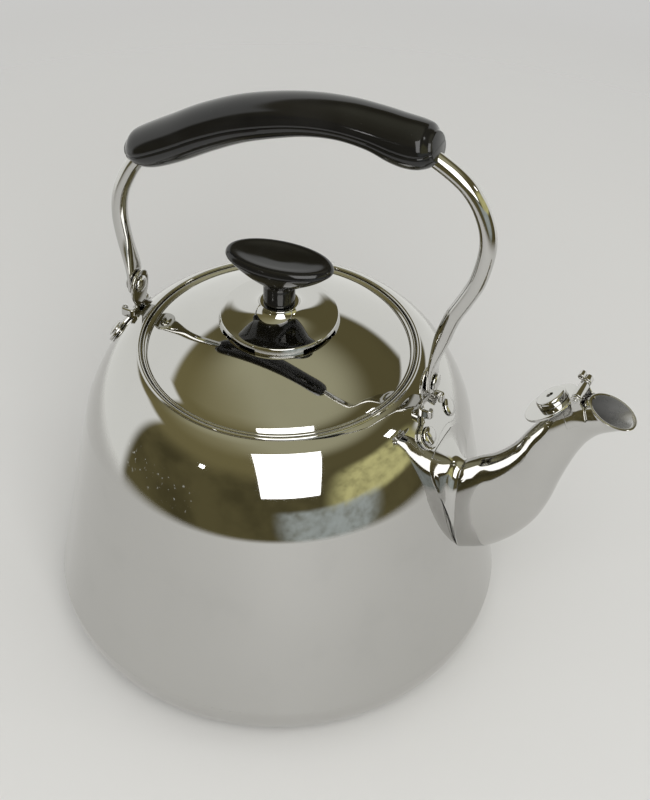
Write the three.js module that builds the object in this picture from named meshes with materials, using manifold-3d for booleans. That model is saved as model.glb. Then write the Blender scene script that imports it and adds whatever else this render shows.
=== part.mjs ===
// Stainless steel kettle with a lift-off lid, a folding bail handle and a flap whistle on the spout.
// Lengths are in millimetres. +Z is up, +X points out along the spout, and the origin is the
// centre of the face that the kettle stands on.
import * as THREE from "three";
import { mergeVertices } from "three/addons/utils/BufferGeometryUtils.js";
import Module from "manifold-3d";

const wasm = await Module();
wasm.setup();

// Sheet, gaps and roundness
const WALL = 0.8;
const SEAT_GAP = 0.3;
const OVERRUN = 4;
const BODY_SIDES = 40;
const SPOUT_SIDES = 24;
const RING_SIDES = 18;
const SMALL_SIDES = 12;
const TUBE_SIDES = 10;
const CURVE_SIDES = 4;

// Vessel
const BODY_RADIUS = 110;
const MOUTH_HEIGHT = 161.5;
const WIDEST_HEIGHT = 25.6;
const CORNER_WIDTH = 26.4;
const SKIRT_TAPER = 17.6;
const SHOULDER_WIDTH = 25.9;
const SHOULDER_RISE = 39;
const BASE_FLAT_RADIUS = BODY_RADIUS - CORNER_WIDTH;
const CREASE_RADIUS = BODY_RADIUS - SKIRT_TAPER;
const CREASE_HEIGHT = MOUTH_HEIGHT - SHOULDER_RISE;
const MOUTH_RADIUS = CREASE_RADIUS - SHOULDER_WIDTH;
const CREASE_LEAD = 3;
const MOUTH_LEAD = 17.8;
const MOUTH_SLOPE = THREE.MathUtils.degToRad(21);
const BEAD_RISE = 0.9;
const SEAT_DEPTH = 1.7;
const SEAT_WIDTH = 5.4;
const SEAT_LIP = 2.8;
const SHOULDER_STEPS = 6;
const CORNER_STEPS = 5;

// Spout
const SEAM_HALF_HEIGHT = 26;
const SEAM_HALF_WIDTH = 10.5;
const SEAM_DROP = 46;
const SEAM_BOTTOM = CREASE_HEIGHT - SEAM_DROP;
const SKIRT_SLOPE = SKIRT_TAPER / (CREASE_HEIGHT - WIDEST_HEIGHT);
const SEAM_OUT = 2.17;
const SEAM_X = CREASE_RADIUS + SKIRT_SLOPE * (SEAM_DROP - SEAM_HALF_HEIGHT) + SEAM_OUT;
const SEAM_TURN = 0.1166;
const SEAM_LEAN = SEAM_TURN - SKIRT_SLOPE;
const SPOUT_REACH = 74.7;
const SPOUT_RISE = 116.5;
const ROOT_RISE = 17.5;
const ROOT_TOP = CREASE_HEIGHT + ROOT_RISE;
const ROOT_HALF_WIDTH = 18.5;
const ROOT_SQUARENESS_SHARE = 0.88;
const ROOT_STEPS = 4;
const ROOT_EDGE = 0.7;
const ROOT_START = 10;

// Half outline of the flared root where it meets the body, from its lowest point to its highest:
// shares of ROOT_HALF_WIDTH and of the height from SEAM_BOTTOM to ROOT_TOP.
const ROOT_OUTLINE_SHARES = [
  [0, -0.03], [0.27, 0.0], [0.39, 0.12], [0.43, 0.25], [0.52, 0.4], [0.68, 0.53],
  [0.86, 0.65], [0.98, 0.77], [0.98, 0.87], [0.84, 0.94], [0.58, 0.98], [0.3, 0.995], [0, 1],
];

// Sections of the neck above the seam, up to the mouth: upper point x and z, lower point x and z as
// shares of SPOUT_REACH and SPOUT_RISE, and the half width as a share of SEAM_HALF_WIDTH.
const NECK_SHARES = [
  [0.071, 0.494, 0.198, 0.06, 1.03],
  [0.158, 0.535, 0.352, 0.159, 1.03],
  [0.232, 0.585, 0.473, 0.279, 1.0],
  [0.299, 0.646, 0.546, 0.399, 0.95],
  [0.355, 0.714, 0.597, 0.528, 0.9],
  [0.412, 0.777, 0.64, 0.622, 0.84],
  [0.479, 0.848, 0.687, 0.708, 0.8],
  [0.566, 0.914, 0.747, 0.785, 0.78],
  [0.647, 0.955, 0.834, 0.85, 0.82],
  [0.713, 0.979, 0.996, 0.914, 0.82],
];

// Bail ears
const EAR_OUT = 8.1;
const EAR_INNER = MOUTH_RADIUS + EAR_OUT;
const EAR_SHEET = 1.5;
const EAR_HALF_WIDTH = 7.2;
const EAR_NECK_HALF_WIDTH = 4.4;
const PIVOT_RISE = 9;
const PIVOT_HEIGHT = MOUTH_HEIGHT + PIVOT_RISE;
const EAR_NECK_DROP = 12.5;
const EAR_NECK_HEIGHT = PIVOT_HEIGHT - EAR_NECK_DROP;
const EAR_NECK_LENGTH = 4;
const LUG_OFFSET = 11;
const LUG_RADIUS = 6.3;
const LUG_DROP = 14.5;
const LUG_HEIGHT = MOUTH_HEIGHT - LUG_DROP;
const HORN_REACH = 9;
const HORN_OUT = 6.5;
const HORN_HEIGHT = 4.5;
const HORN_DROP = 3.5;
const HORN_BOTTOM = EAR_NECK_HEIGHT - HORN_DROP;
const HORN_CURL = THREE.MathUtils.degToRad(135);
const EAR_RIVET_SHANK = 2;
const EAR_RIVET_HEAD = 4.4;
const EAR_RIVET_DOME = 1.5;
const EAR_RIVET_TAIL = 3.2;

// Bail handle
const TUBE_DIAMETER = 7.6;
const TUBE_WALL = 0.8;
const TUBE_FLAT = 3;
const TUBE_FLAT_WIDTH = 11;
const FLAT_END = 28;
const BAIL_RISE = 124;
const PIVOT_PIN = 2;
const PIVOT_HEAD = 4.2;
const PIVOT_DOME = 1.6;
const BAIL_STEPS = 26;
const BAIL_END_CROWDING = 0.07;
const BAIL_X = EAR_INNER + EAR_SHEET + SEAT_GAP + TUBE_FLAT / 2;

// Centre line of the bail tube from the rear end to the front end: shares of BAIL_X and, above
// the pivot, of BAIL_RISE.
const BAIL_LINE_SHARES = [
  [-1.0, -0.05], [-1.0, 0.0], [-1.003, 0.06], [-1.022, 0.117], [-1.046, 0.177], [-1.065, 0.238],
  [-1.076, 0.298], [-1.073, 0.359], [-1.053, 0.423], [-1.012, 0.488], [-0.956, 0.556],
  [-0.879, 0.618], [-0.77, 0.673], [-0.616, 0.738], [-0.321, 0.851], [0.0, 0.94], [0.321, 0.992],
  [0.603, 0.998], [0.77, 0.982], [0.938, 0.945], [1.091, 0.891], [1.181, 0.831], [1.239, 0.756],
  [1.262, 0.685], [1.257, 0.609], [1.223, 0.504], [1.162, 0.411], [1.096, 0.321], [1.05, 0.226],
  [1.017, 0.133], [1.0, 0.06], [1.0, 0.0], [1.0, -0.05],
];

// Sections of the grip from rear to front: centre x and height as for the bail line, then the
// height above and below the parting line and the half width as shares of GRIP_HALF_WIDTH.
const GRIP_HALF_WIDTH = 12;
const GRIP_SHARES = [
  [-0.954, 0.62, 0.44, 0.44, 0.52],
  [-0.898, 0.637, 0.73, 0.67, 0.79],
  [-0.81, 0.666, 0.84, 0.82, 0.93],
  [-0.642, 0.731, 0.89, 0.86, 1.0],
  [-0.449, 0.81, 0.9, 0.85, 1.02],
  [-0.231, 0.885, 0.87, 0.8, 1.02],
  [0.0, 0.944, 0.82, 0.75, 1.0],
  [0.205, 0.982, 0.77, 0.67, 0.98],
  [0.398, 1.001, 0.75, 0.65, 0.97],
  [0.578, 1.001, 0.78, 0.72, 0.98],
  [0.719, 0.99, 0.87, 0.88, 1.0],
  [0.815, 0.987, 0.88, 0.88, 0.99],
  [0.885, 0.99, 0.79, 0.74, 0.9],
  [0.927, 0.996, 0.56, 0.54, 0.62],
];
const GRIP_SCREW_SHANK = 1.5;
const GRIP_SCREW_HEAD = 2.3;
const GRIP_SCREW_DEPTH = 3;
const GRIP_SCREW_SIDE = 6.6;
const GRIP_SCREW_SHARES = [-0.642, 0.719];

// Lid
const LID_GAP = 0.9;
const LID_RADIUS = MOUTH_RADIUS - 2 * WALL - LID_GAP;
const LID_RIM_HEIGHT = 1.8;
const LID_RIM_WIDTH = 2.2;
const LID_RISE = 19;
const LID_APEX = MOUTH_HEIGHT + LID_RISE;
const LID_STEPS = 5;
const LOCATING_CLEARANCE = 0.8;
const LOCATING_DROP = 8;
const LOCATING_BOTTOM = MOUTH_HEIGHT - LOCATING_DROP;
const STEAM_HOLE_RADIUS = 2.5;
const STEAM_HOLE_OFFSET = 16;
const STEAM_HOLES = 4;

// Knob and the vented disc that it stands on
const DISC_RADIUS = 28.2;
const DISC_EDGE_RADIUS = 27.2;
const DISC_BAND = 4.2;
const DISC_NECK_RADIUS = 9.1;
const DISC_RISE = 7.5;
const DISC_TOP = LID_APEX + DISC_RISE;
const DISC_WALL = 1;
const DISC_STEPS = 4;
const DISC_SIDES = 28;
const VENT_HEIGHT = 2.4;
const VENT_HALF_WIDTH = 10.5;
const VENT_TURN = THREE.MathUtils.degToRad(72.5);
const VENTS = 4;
const STEM_RADIUS = 7.4;
const STEM_LENGTH = 20;
const LENS_RISE = 11;
const LENS_HEIGHT = 14.2;
const KNOB_BOTTOM = DISC_TOP + LENS_RISE;
const KNOB_TOP = KNOB_BOTTOM + LENS_HEIGHT;
const KNOB_HALF_LENGTH = 25.7;
const KNOB_HALF_WIDTH = 13;
const KNOB_TURN = THREE.MathUtils.degToRad(7);
const INSERT_RADIUS = 4.2;
const INSERT_LENGTH = 9;
const SCREW_RADIUS = 2;
const SCREW_HEAD_RADIUS = 4.2;
const SCREW_HEAD_HEIGHT = 2.6;
const WASHER_RADIUS = 8;
const WASHER_THICKNESS = 1;
const SCREW_CLEARANCE = 0.5;

// Sections of the knob from the stem up to the rim: shares of the length and width reached, and
// of the height from KNOB_BOTTOM to KNOB_TOP.
const KNOB_SHARES = [
  [0.3, 0.58, 0], [0.42, 0.66, 0.1], [0.62, 0.79, 0.27], [0.82, 0.91, 0.49],
  [0.95, 0.98, 0.68], [1.0, 1.0, 0.79], [0.985, 0.97, 0.91], [0.93, 0.85, 1.0], [0.84, 0.72, 0.99],
  [0.4, 0.35, 0.93],
];

// Whistle
const HINGE_BEHIND = 5.2;
const HINGE_BELOW = 0.7;
const FLAP_REST = THREE.MathUtils.degToRad(8);
const FLAP_RADIUS = 13.2;
const FLAP_SHEET = 0.9;
const ARM_HALF_WIDTH = 3.6;
const ARM_REACH = 7;
const ARM_TAIL = 1.1;
const KNUCKLE_RADIUS = 2.3;
const KNUCKLE_HALF_WIDTH = 5;
const PIN_RADIUS = 1.1;
const PIN_NEAR = 7.6;
const CUP_RADIUS = 7.2;
const CUP_OFFSET = 1.5;
const CUP_DEPTH = 3.4;
const CUP_SHEET = 0.6;
const WHISTLE_HOLE = 1.6;
const TAB_HEIGHT = 4;
const TAB_LEAN = THREE.MathUtils.degToRad(-35);
const TAB_SHEET = 1;
const TAB_GAP = 0.4;
const TAB_WIDTH = 3.8;
const TAB_ROLL = 1.4;
const SADDLE_SHEET = 0.7;
const LUG_SHEET = 1;
const CLEVIS_HALF_GAP = 5.5;
const TAB_START = CLEVIS_HALF_GAP + LUG_SHEET + TAB_GAP;
const SADDLE_BACK = 8.6;
const SADDLE_STRAP = 4.4;
const SADDLE_FRONT = 2.4;
const SADDLE_DEPTH = 13;

// Steps of a domed rivet or screw head from its edge to its crown: shares of radius and rise.
const DOME_SHARES = [[1, 0], [0.93, 0.42], [0.6, 0.85], [0, 1]];

// Finishes
const steel = new THREE.MeshStandardMaterial({ color: 0xd9dadb, roughness: 0.08, metalness: 1 });
const plainSteel = new THREE.MeshStandardMaterial({ color: 0xb9bbbd, roughness: 0.35, metalness: 1 });
const bakelite = new THREE.MeshStandardMaterial({ color: 0x0b0b0c, roughness: 0.12, metalness: 0 });
const brass = new THREE.MeshStandardMaterial({ color: 0xb08d45, roughness: 0.3, metalness: 1 });

const kettle = new THREE.Group();
const V2 = (x, y) => new THREE.Vector2(x, y);
const V3 = (x, y, z) => new THREE.Vector3(x, y, z);
const X_AXIS = V3(1, 0, 0);
const Y_AXIS = V3(0, 1, 0);
const Z_AXIS = V3(0, 0, 1);

// Closed mesh with shared corners, no empty triangles and its faces pointing out.
function weld(geometry) {
  const bare = geometry.clone();
  bare.deleteAttribute("normal");
  bare.deleteAttribute("uv");
  const merged = mergeVertices(bare);
  const place = merged.getAttribute("position");
  const corner = (i) => V3().fromBufferAttribute(place, i);
  const kept = [];
  let volume = 0;
  for (let i = 0; i < merged.index.count; i += 3) {
    const [a, b, c] = [merged.index.getX(i), merged.index.getX(i + 1), merged.index.getX(i + 2)];
    if (a === b || b === c || c === a) continue;
    volume += corner(a).dot(corner(b).cross(corner(c)));
    kept.push([a, b, c]);
  }
  const facing = volume < 0 ? kept.map(([a, b, c]) => [a, c, b]) : kept;
  merged.setIndex(facing.flat());
  return merged;
}

function toSolid(geometry) {
  const closed = weld(geometry);
  const vertProperties = new Float32Array(closed.getAttribute("position").array);
  const triVerts = new Uint32Array(closed.index.array);
  return new wasm.Manifold(new wasm.Mesh({ numProp: 3, vertProperties, triVerts }));
}

function fromSolid(solid) {
  const mesh = solid.getMesh();
  const geometry = new THREE.BufferGeometry();
  geometry.setAttribute("position", new THREE.BufferAttribute(new Float32Array(mesh.vertProperties), 3));
  geometry.setIndex(Array.from(mesh.triVerts));
  return geometry;
}

function cut(geometry, ...tools) {
  return fromSolid(tools.reduce((solid, tool) => solid.subtract(toSolid(tool)), toSolid(geometry)));
}

function join(geometry, ...others) {
  return fromSolid(others.reduce((solid, other) => solid.add(toSolid(other)), toSolid(geometry)));
}

function common(geometry, other) {
  return fromSolid(toSolid(geometry).intersect(toSolid(other)));
}

// Solid turned about Z from a profile of (radius, height) points.
function turned(profile, sides = BODY_SIDES) {
  return new THREE.LatheGeometry(profile, sides).rotateX(Math.PI / 2);
}

// The same for a ring, whose profile closes on itself away from the axis.
function turnedRing(profile, sides = BODY_SIDES) {
  return turned([...profile, profile[0]], sides);
}

// Round bar from one point to another.
function bar(radius, from, to, sides = SMALL_SIDES) {
  const along = to.clone().sub(from);
  const turn = new THREE.Quaternion().setFromUnitVectors(Y_AXIS, along.clone().normalize());
  const middle = from.clone().add(to).multiplyScalar(0.5);
  return new THREE.CylinderGeometry(radius, radius, along.length(), sides)
    .applyQuaternion(turn)
    .translate(middle.x, middle.y, middle.z);
}

// Turned solid whose axis starts at a point and follows a direction.
function turnedAlong(profile, origin, direction, sides = SMALL_SIDES) {
  const turn = new THREE.Quaternion().setFromUnitVectors(Z_AXIS, direction.clone().normalize());
  return turned(profile, sides).applyQuaternion(turn).translate(origin.x, origin.y, origin.z);
}

// Flat sheet of a given outline, standing on a plane with the given sideways and upward directions.
function sheet(outline, thickness, origin, right, up) {
  const out = right.clone().cross(up);
  const place = new THREE.Matrix4().makeBasis(right, up, out).setPosition(origin);
  const settings = { depth: thickness, bevelEnabled: false, curveSegments: CURVE_SIDES };
  return new THREE.ExtrudeGeometry(outline, settings).applyMatrix4(place);
}

// Skin over rings of equal point counts, with flat ends, or closed on itself as a pipe with a wall.
function skin(rings, closed = false) {
  const sides = rings[0].length;
  const points = rings.flat();
  const index = [];
  const last = closed ? rings.length : rings.length - 1;
  for (let k = 0; k < last; k += 1) {
    const low = k * sides;
    const high = ((k + 1) % rings.length) * sides;
    for (let i = 0; i < sides; i += 1) {
      const j = (i + 1) % sides;
      index.push(low + i, low + j, high + j, low + i, high + j, high + i);
    }
  }
  if (!closed) {
    for (const [ring, flip] of [[0, true], [rings.length - 1, false]]) {
      const centre = rings[ring].reduce((sum, point) => sum.add(point), V3()).divideScalar(sides);
      const hub = points.push(centre) - 1;
      for (let i = 0; i < sides; i += 1) {
        const a = ring * sides + i;
        const b = ring * sides + ((i + 1) % sides);
        index.push(...(flip ? [b, a, hub] : [a, b, hub]));
      }
    }
  }
  const geometry = new THREE.BufferGeometry().setFromPoints(points);
  geometry.setIndex(index);
  return geometry;
}

// Line moved sideways by a distance, to the right of its direction of travel when positive.
function offsetLine(line, distance) {
  return line.map((point, i) => {
    const before = line[Math.max(i - 1, 0)];
    const after = line[Math.min(i + 1, line.length - 1)];
    const along = after.clone().sub(before).normalize();
    return V2(point.x + along.y * distance, point.y - along.x * distance);
  });
}

function power(value, exponent) {
  return Math.sign(value) * Math.abs(value) ** exponent;
}

// Box between two corners.
function block(from, to) {
  const size = to.clone().sub(from);
  const middle = from.clone().add(to).multiplyScalar(0.5);
  return new THREE.BoxGeometry(size.x, size.y, size.z).translate(middle.x, middle.y, middle.z);
}

// Rivet or screw along Z: a domed head above a shank, and a domed tail below it where one is given.
function fastener(head, rise, shank, bottom, top, tail = 0) {
  const lower = DOME_SHARES.map(([across, up]) => V2(across * tail, bottom - up * rise)).reverse();
  const upper = DOME_SHARES.map(([across, up]) => V2(across * head, top + up * rise));
  const start = tail > 0 ? lower : [V2(0, bottom)];
  return [...start, V2(shank, bottom), V2(shank, top), ...upper];
}

function add(name, geometry, material) {
  const mesh = new THREE.Mesh(weld(geometry), material);
  mesh.name = name;
  kettle.add(mesh);
  return mesh;
}

// Outer line of the body from its widest line up to the rolled mouth.
function bodyLine() {
  const crease = V2(CREASE_RADIUS, CREASE_HEIGHT);
  const mouth = V2(MOUTH_RADIUS, MOUTH_HEIGHT);
  const lead = crease.clone().sub(V2(BODY_RADIUS, WIDEST_HEIGHT)).setLength(CREASE_LEAD);
  const leave = V2(Math.cos(MOUTH_SLOPE), -Math.sin(MOUTH_SLOPE)).multiplyScalar(MOUTH_LEAD);
  const bends = [crease.clone().add(lead), mouth.clone().add(leave)];
  const shoulder = new THREE.CubicBezierCurve(crease, ...bends, mouth);
  return [V2(BODY_RADIUS, WIDEST_HEIGHT), ...shoulder.getPoints(SHOULDER_STEPS)];
}

const BODY_LINE = bodyLine();

// Radius of the body at a height, with the surface moved out by a distance.
function bodyRadiusAt(height, out = 0) {
  const line = offsetLine(BODY_LINE, out);
  for (let i = 1; i < line.length; i += 1) {
    if (height <= line[i].y) {
      const share = (height - line[i - 1].y) / (line[i].y - line[i - 1].y);
      return THREE.MathUtils.lerp(line[i - 1].x, line[i].x, share);
    }
  }
  return line[line.length - 1].x;
}

// Outward direction of the shoulder at a height, in the plane of the spout.
function shoulderNormal(height) {
  const rise = bodyRadiusAt(height + WALL) - bodyRadiusAt(height - WALL);
  return V3(2 * WALL, 0, -rise).normalize();
}

// Everything inside the body's outer face moved out by a distance, up to the mouth.
function bodyBlock(out) {
  const line = offsetLine(BODY_LINE, out);
  const top = line[line.length - 1];
  return turned([V2(0, WIDEST_HEIGHT), line[0].setY(WIDEST_HEIGHT), ...line.slice(1), V2(0, top.y)]);
}

function earRivetPlaces() {
  const places = [];
  for (const end of [1, -1]) {
    for (const side of [-1, 1]) {
      const radius = bodyRadiusAt(LUG_HEIGHT);
      const x = Math.sqrt(radius ** 2 - LUG_OFFSET ** 2);
      const flat = shoulderNormal(LUG_HEIGHT);
      const turn = Math.asin(LUG_OFFSET / radius) * side;
      const normal = flat.applyAxisAngle(Z_AXIS, turn);
      const point = V3(x, LUG_OFFSET * side, LUG_HEIGHT);
      if (end < 0) {
        normal.applyAxisAngle(Z_AXIS, Math.PI);
        point.applyAxisAngle(Z_AXIS, Math.PI);
      }
      const name = `ear_rivet_${end > 0 ? "front" : "rear"}_${side < 0 ? "near" : "far"}`;
      places.push({ name, point, normal });
    }
  }
  return places;
}

function rivetHole(place) {
  const reach = place.normal.clone().multiplyScalar(OVERRUN);
  return bar(EAR_RIVET_SHANK + SEAT_GAP, place.point.clone().sub(reach), place.point.clone().add(reach));
}

// Spout sections
function seamRing(inset) {
  const ring = [];
  for (let i = 0; i < SPOUT_SIDES; i += 1) {
    const angle = -Math.PI / 2 + (2 * Math.PI * i) / SPOUT_SIDES;
    const y = (SEAM_HALF_WIDTH - inset) * power(Math.cos(angle), ROOT_SQUARENESS_SHARE);
    const z = (SEAM_HALF_HEIGHT - inset) * power(Math.sin(angle), ROOT_SQUARENESS_SHARE);
    ring.push(V3(SEAM_X + SEAM_LEAN * z, y, SEAM_BOTTOM + SEAM_HALF_HEIGHT + z));
  }
  return ring;
}

function rootOutline(inset) {
  const half = ROOT_OUTLINE_SHARES.map(([across, up]) =>
    V2(across * ROOT_HALF_WIDTH, SEAM_BOTTOM + up * (ROOT_TOP - SEAM_BOTTOM)));
  const whole = [...half, ...half.slice(1, -1).reverse().map((point) => V2(-point.x, point.y))];
  const line = new THREE.CatmullRomCurve3(whole.map(({ x, y }) => V3(x, y, 0)), true);
  const ring = [];
  for (let i = 0; i < SPOUT_SIDES; i += 1) {
    const point = line.getPoint(i / SPOUT_SIDES);
    ring.push(V2(point.x, point.y));
  }
  const wrapped = [ring[ring.length - 1], ...ring, ring[0]];
  return offsetLine(wrapped, -inset).slice(1, -1);
}

function bodyX(y, z) {
  return Math.sqrt(Math.max(bodyRadiusAt(z) ** 2 - y ** 2, 0));
}

// Point just outside the body at a place, and never beyond the plane of the seam.
function rootEdge(y, z, inset) {
  const seam = SEAM_X + SEAM_LEAN * (z - SEAM_BOTTOM - SEAM_HALF_HEIGHT);
  return V3(Math.min(bodyX(y, z) + SEAT_GAP + ROOT_EDGE - 2 * inset, seam), y, z);
}

function rootRings(inset) {
  const seam = seamRing(inset);
  const outline = rootOutline(inset);
  const rings = [];
  for (let k = 0; k <= ROOT_STEPS; k += 1) {
    const share = k / ROOT_STEPS;
    rings.push(seam.map((end, i) => {
      const start = rootEdge(outline[i].x, outline[i].y, inset);
      const bend = rootEdge(end.y, end.z, inset);
      return new THREE.QuadraticBezierCurve3(start, bend, end).getPoint(share);
    }));
  }
  const sunk = rings[0].map((point) => point.clone().setX(point.x - OVERRUN));
  return [sunk, ...rings];
}

function neckRings(inset) {
  const rings = NECK_SHARES.map((row, k) => {
    const [top, low] = neckEnds(row);
    const centre = top.clone().add(low).multiplyScalar(0.5);
    const half = top.clone().sub(low).multiplyScalar(0.5);
    half.setLength(half.length() - inset);
    const squareness = THREE.MathUtils.lerp(ROOT_SQUARENESS_SHARE, 1, k / (NECK_SHARES.length - 1));
    const ring = [];
    for (let i = 0; i < SPOUT_SIDES; i += 1) {
      const angle = -Math.PI / 2 + (2 * Math.PI * i) / SPOUT_SIDES;
      const across = (row[4] * SEAM_HALF_WIDTH - inset) * power(Math.cos(angle), squareness);
      const up = power(Math.sin(angle), squareness);
      ring.push(centre.clone().addScaledVector(half, up).addScaledVector(Y_AXIS, across));
    }
    return ring;
  });
  const first = seamRing(inset).map((point) => point.clone().setX(point.x + SEAT_GAP));
  return [first, ...rings];
}

function makeVessel() {
  const corner = [];
  for (let i = 0; i <= CORNER_STEPS; i += 1) {
    const angle = (Math.PI / 2) * (i / CORNER_STEPS);
    corner.push(V2(
      BASE_FLAT_RADIUS + (BODY_RADIUS - BASE_FLAT_RADIUS) * Math.sin(angle),
      WIDEST_HEIGHT * (1 - Math.cos(angle)),
    ));
  }
  const inside = offsetLine(corner, -WALL);
  inside[0].y = WALL;
  inside[inside.length - 1].set(BODY_RADIUS - WALL, WIDEST_HEIGHT);
  add("base_pan", turned([V2(0, 0), ...corner, ...inside.reverse(), V2(0, WALL)]), steel);

  const beadTop = MOUTH_HEIGHT + BEAD_RISE;
  const seatTop = MOUTH_HEIGHT - SEAT_DEPTH;
  const beadInner = MOUTH_RADIUS - 2 * WALL;
  const hole = beadInner - SEAT_WIDTH;
  const inner = offsetLine(BODY_LINE, -WALL).filter((point) => point.y < seatTop - WALL);
  inner[0].set(BODY_RADIUS - WALL, WIDEST_HEIGHT);
  const shell = turnedRing([
    ...BODY_LINE,
    V2(MOUTH_RADIUS, beadTop - WALL / 2),
    V2(MOUTH_RADIUS - WALL / 2, beadTop),
    V2(beadInner + WALL / 2, beadTop),
    V2(beadInner, beadTop - WALL / 2),
    V2(beadInner, seatTop),
    V2(hole, seatTop),
    V2(hole, seatTop - SEAT_LIP),
    V2(hole + WALL, seatTop - SEAT_LIP),
    V2(hole + WALL, seatTop - WALL),
    V2(bodyRadiusAt(seatTop - WALL, -WALL), seatTop - WALL),
    ...inner.reverse(),
  ]);
  const passage = seamRing(WALL).map((point) => point.clone().setX(SEAM_X - SEAM_HALF_HEIGHT));
  const passageEnd = seamRing(WALL).map((point) => point.clone().setX(SEAM_X + OVERRUN));
  const holes = earRivetPlaces().map(rivetHole);
  add("body_shell", cut(shell, skin([passage, passageEnd]), ...holes), steel);
}

function makeSpout() {
  const clear = bodyBlock(SEAT_GAP);
  const bore = rootRings(WALL);
  const boreEnd = bore[bore.length - 1].map((point) => point.clone().setX(point.x + OVERRUN));
  // Below this height the neck meets the body directly.
  const start = V3(BODY_RADIUS, ROOT_HALF_WIDTH, SEAM_BOTTOM + ROOT_START);
  const below = block(V3(0, -ROOT_HALF_WIDTH, 0), start);
  const root = cut(skin(rootRings(0)), skin([...bore, boreEnd]), clear, below);
  add("spout_root", root, steel);
  const outside = neckRings(0);
  const inside = neckRings(WALL);
  add("spout_neck", cut(skin([...outside, ...inside.reverse()], true), clear), steel);
}

// Outline of the ear's upright plate, from its foot to its round top, as sideways and height.
function earPlate() {
  const low = bodyHeightAt(EAR_INNER + EAR_SHEET) - OVERRUN;
  const below = EAR_NECK_HEIGHT - EAR_NECK_LENGTH;
  const above = EAR_NECK_HEIGHT + EAR_NECK_LENGTH / 2;
  const neck = EAR_NECK_HALF_WIDTH;
  const plate = new THREE.Shape();
  plate.moveTo(-EAR_HALF_WIDTH, low);
  plate.lineTo(EAR_HALF_WIDTH, low);
  plate.quadraticCurveTo(neck, below, neck, EAR_NECK_HEIGHT);
  plate.quadraticCurveTo(EAR_HALF_WIDTH, above, EAR_HALF_WIDTH, PIVOT_HEIGHT);
  plate.absarc(0, PIVOT_HEIGHT, EAR_HALF_WIDTH, 0, Math.PI, false);
  plate.quadraticCurveTo(-EAR_HALF_WIDTH, above, -neck, EAR_NECK_HEIGHT);
  plate.quadraticCurveTo(-neck, below, -EAR_HALF_WIDTH, low);
  return plate;
}

// Height of the shoulder where its radius has a given value.
function bodyHeightAt(radius) {
  for (let i = 1; i < BODY_LINE.length; i += 1) {
    if (radius >= BODY_LINE[i].x) {
      const share = (BODY_LINE[i - 1].x - radius) / (BODY_LINE[i - 1].x - BODY_LINE[i].x);
      return THREE.MathUtils.lerp(BODY_LINE[i - 1].y, BODY_LINE[i].y, share);
    }
  }
  return MOUTH_HEIGHT;
}

// Strip that leaves the neck of the ear sideways and curls outwards like a horn, seen from above.
function hornStrip(side) {
  const middle = HORN_OUT / 2;
  const outline = new THREE.Shape();
  const reach = HORN_REACH - middle;
  outline.moveTo(0, 0);
  outline.lineTo(reach, 0);
  outline.absarc(reach, middle, middle, -Math.PI / 2, HORN_CURL, false);
  outline.absarc(reach, middle, middle - EAR_SHEET, HORN_CURL, -Math.PI / 2, true);
  outline.lineTo(0, EAR_SHEET);
  const horn = sheet(outline, HORN_HEIGHT, V3(0, 0, 0), X_AXIS, Y_AXIS);
  if (side < 0) horn.scale(-1, 1, 1);
  return horn.rotateZ(-Math.PI / 2).scale(1, -1, 1).translate(EAR_INNER, 0, HORN_BOTTOM);
}

function makeEars() {
  const normal = shoulderNormal(LUG_HEIGHT);
  const upSlope = normal.clone().cross(Y_AXIS);
  const lugX = Math.sqrt(bodyRadiusAt(LUG_HEIGHT) ** 2 - LUG_OFFSET ** 2);
  const lugPoint = V3(lugX, 0, LUG_HEIGHT).addScaledVector(normal, -OVERRUN);
  const rise = (bodyHeightAt(EAR_INNER + EAR_SHEET) - LUG_HEIGHT) / upSlope.z;
  const side = [
    V2(LUG_OFFSET / 2, -LUG_RADIUS / 2), V2(LUG_OFFSET, -LUG_RADIUS),
    V2(LUG_OFFSET + LUG_RADIUS, 0), V2(EAR_HALF_WIDTH, rise),
  ];
  const web = new THREE.Shape([...side, ...side.map(({ x, y }) => V2(-x, y)).reverse()]);
  const depth = 2 * LUG_RADIUS;
  const web3 = sheet(web, depth, lugPoint, Y_AXIS, upSlope);
  const lugs = [-1, 1].map((hand) => {
    const from = lugPoint.clone().addScaledVector(Y_AXIS, hand * LUG_OFFSET);
    return bar(LUG_RADIUS, from, from.clone().addScaledVector(normal, depth), RING_SIDES);
  });
  const footBlock = join(web3, ...lugs);
  const foot = cut(common(footBlock, bodyBlock(SEAT_GAP + EAR_SHEET)), bodyBlock(SEAT_GAP));
  const upright = sheet(earPlate(), EAR_SHEET, V3(EAR_INNER, 0, 0), Y_AXIS, Z_AXIS);
  const pivotHole = bar(
    PIVOT_PIN + SEAT_GAP,
    V3(EAR_INNER - OVERRUN, 0, PIVOT_HEIGHT),
    V3(EAR_INNER + OVERRUN, 0, PIVOT_HEIGHT),
  );
  const holes = earRivetPlaces().slice(0, 2).map(rivetHole);
  const above = cut(join(upright, hornStrip(1), hornStrip(-1)), bodyBlock(SEAT_GAP), pivotHole);
  const ear = cut(join(above, foot), ...holes);
  add("ear_front", ear, steel);
  add("ear_rear", ear.clone().rotateZ(Math.PI), steel);

  const outFace = SEAT_GAP + EAR_SHEET + SEAT_GAP;
  const inFace = -WALL - 2 * SEAT_GAP;
  const rivet = [EAR_RIVET_HEAD, EAR_RIVET_DOME, EAR_RIVET_SHANK, inFace, outFace, EAR_RIVET_TAIL];
  for (const place of earRivetPlaces()) {
    add(place.name, turnedAlong(fastener(...rivet), place.point, place.normal), steel);
  }
}

function bailPoint(across, up) {
  return V3(across * BAIL_X, 0, PIVOT_HEIGHT + up * BAIL_RISE);
}

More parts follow.
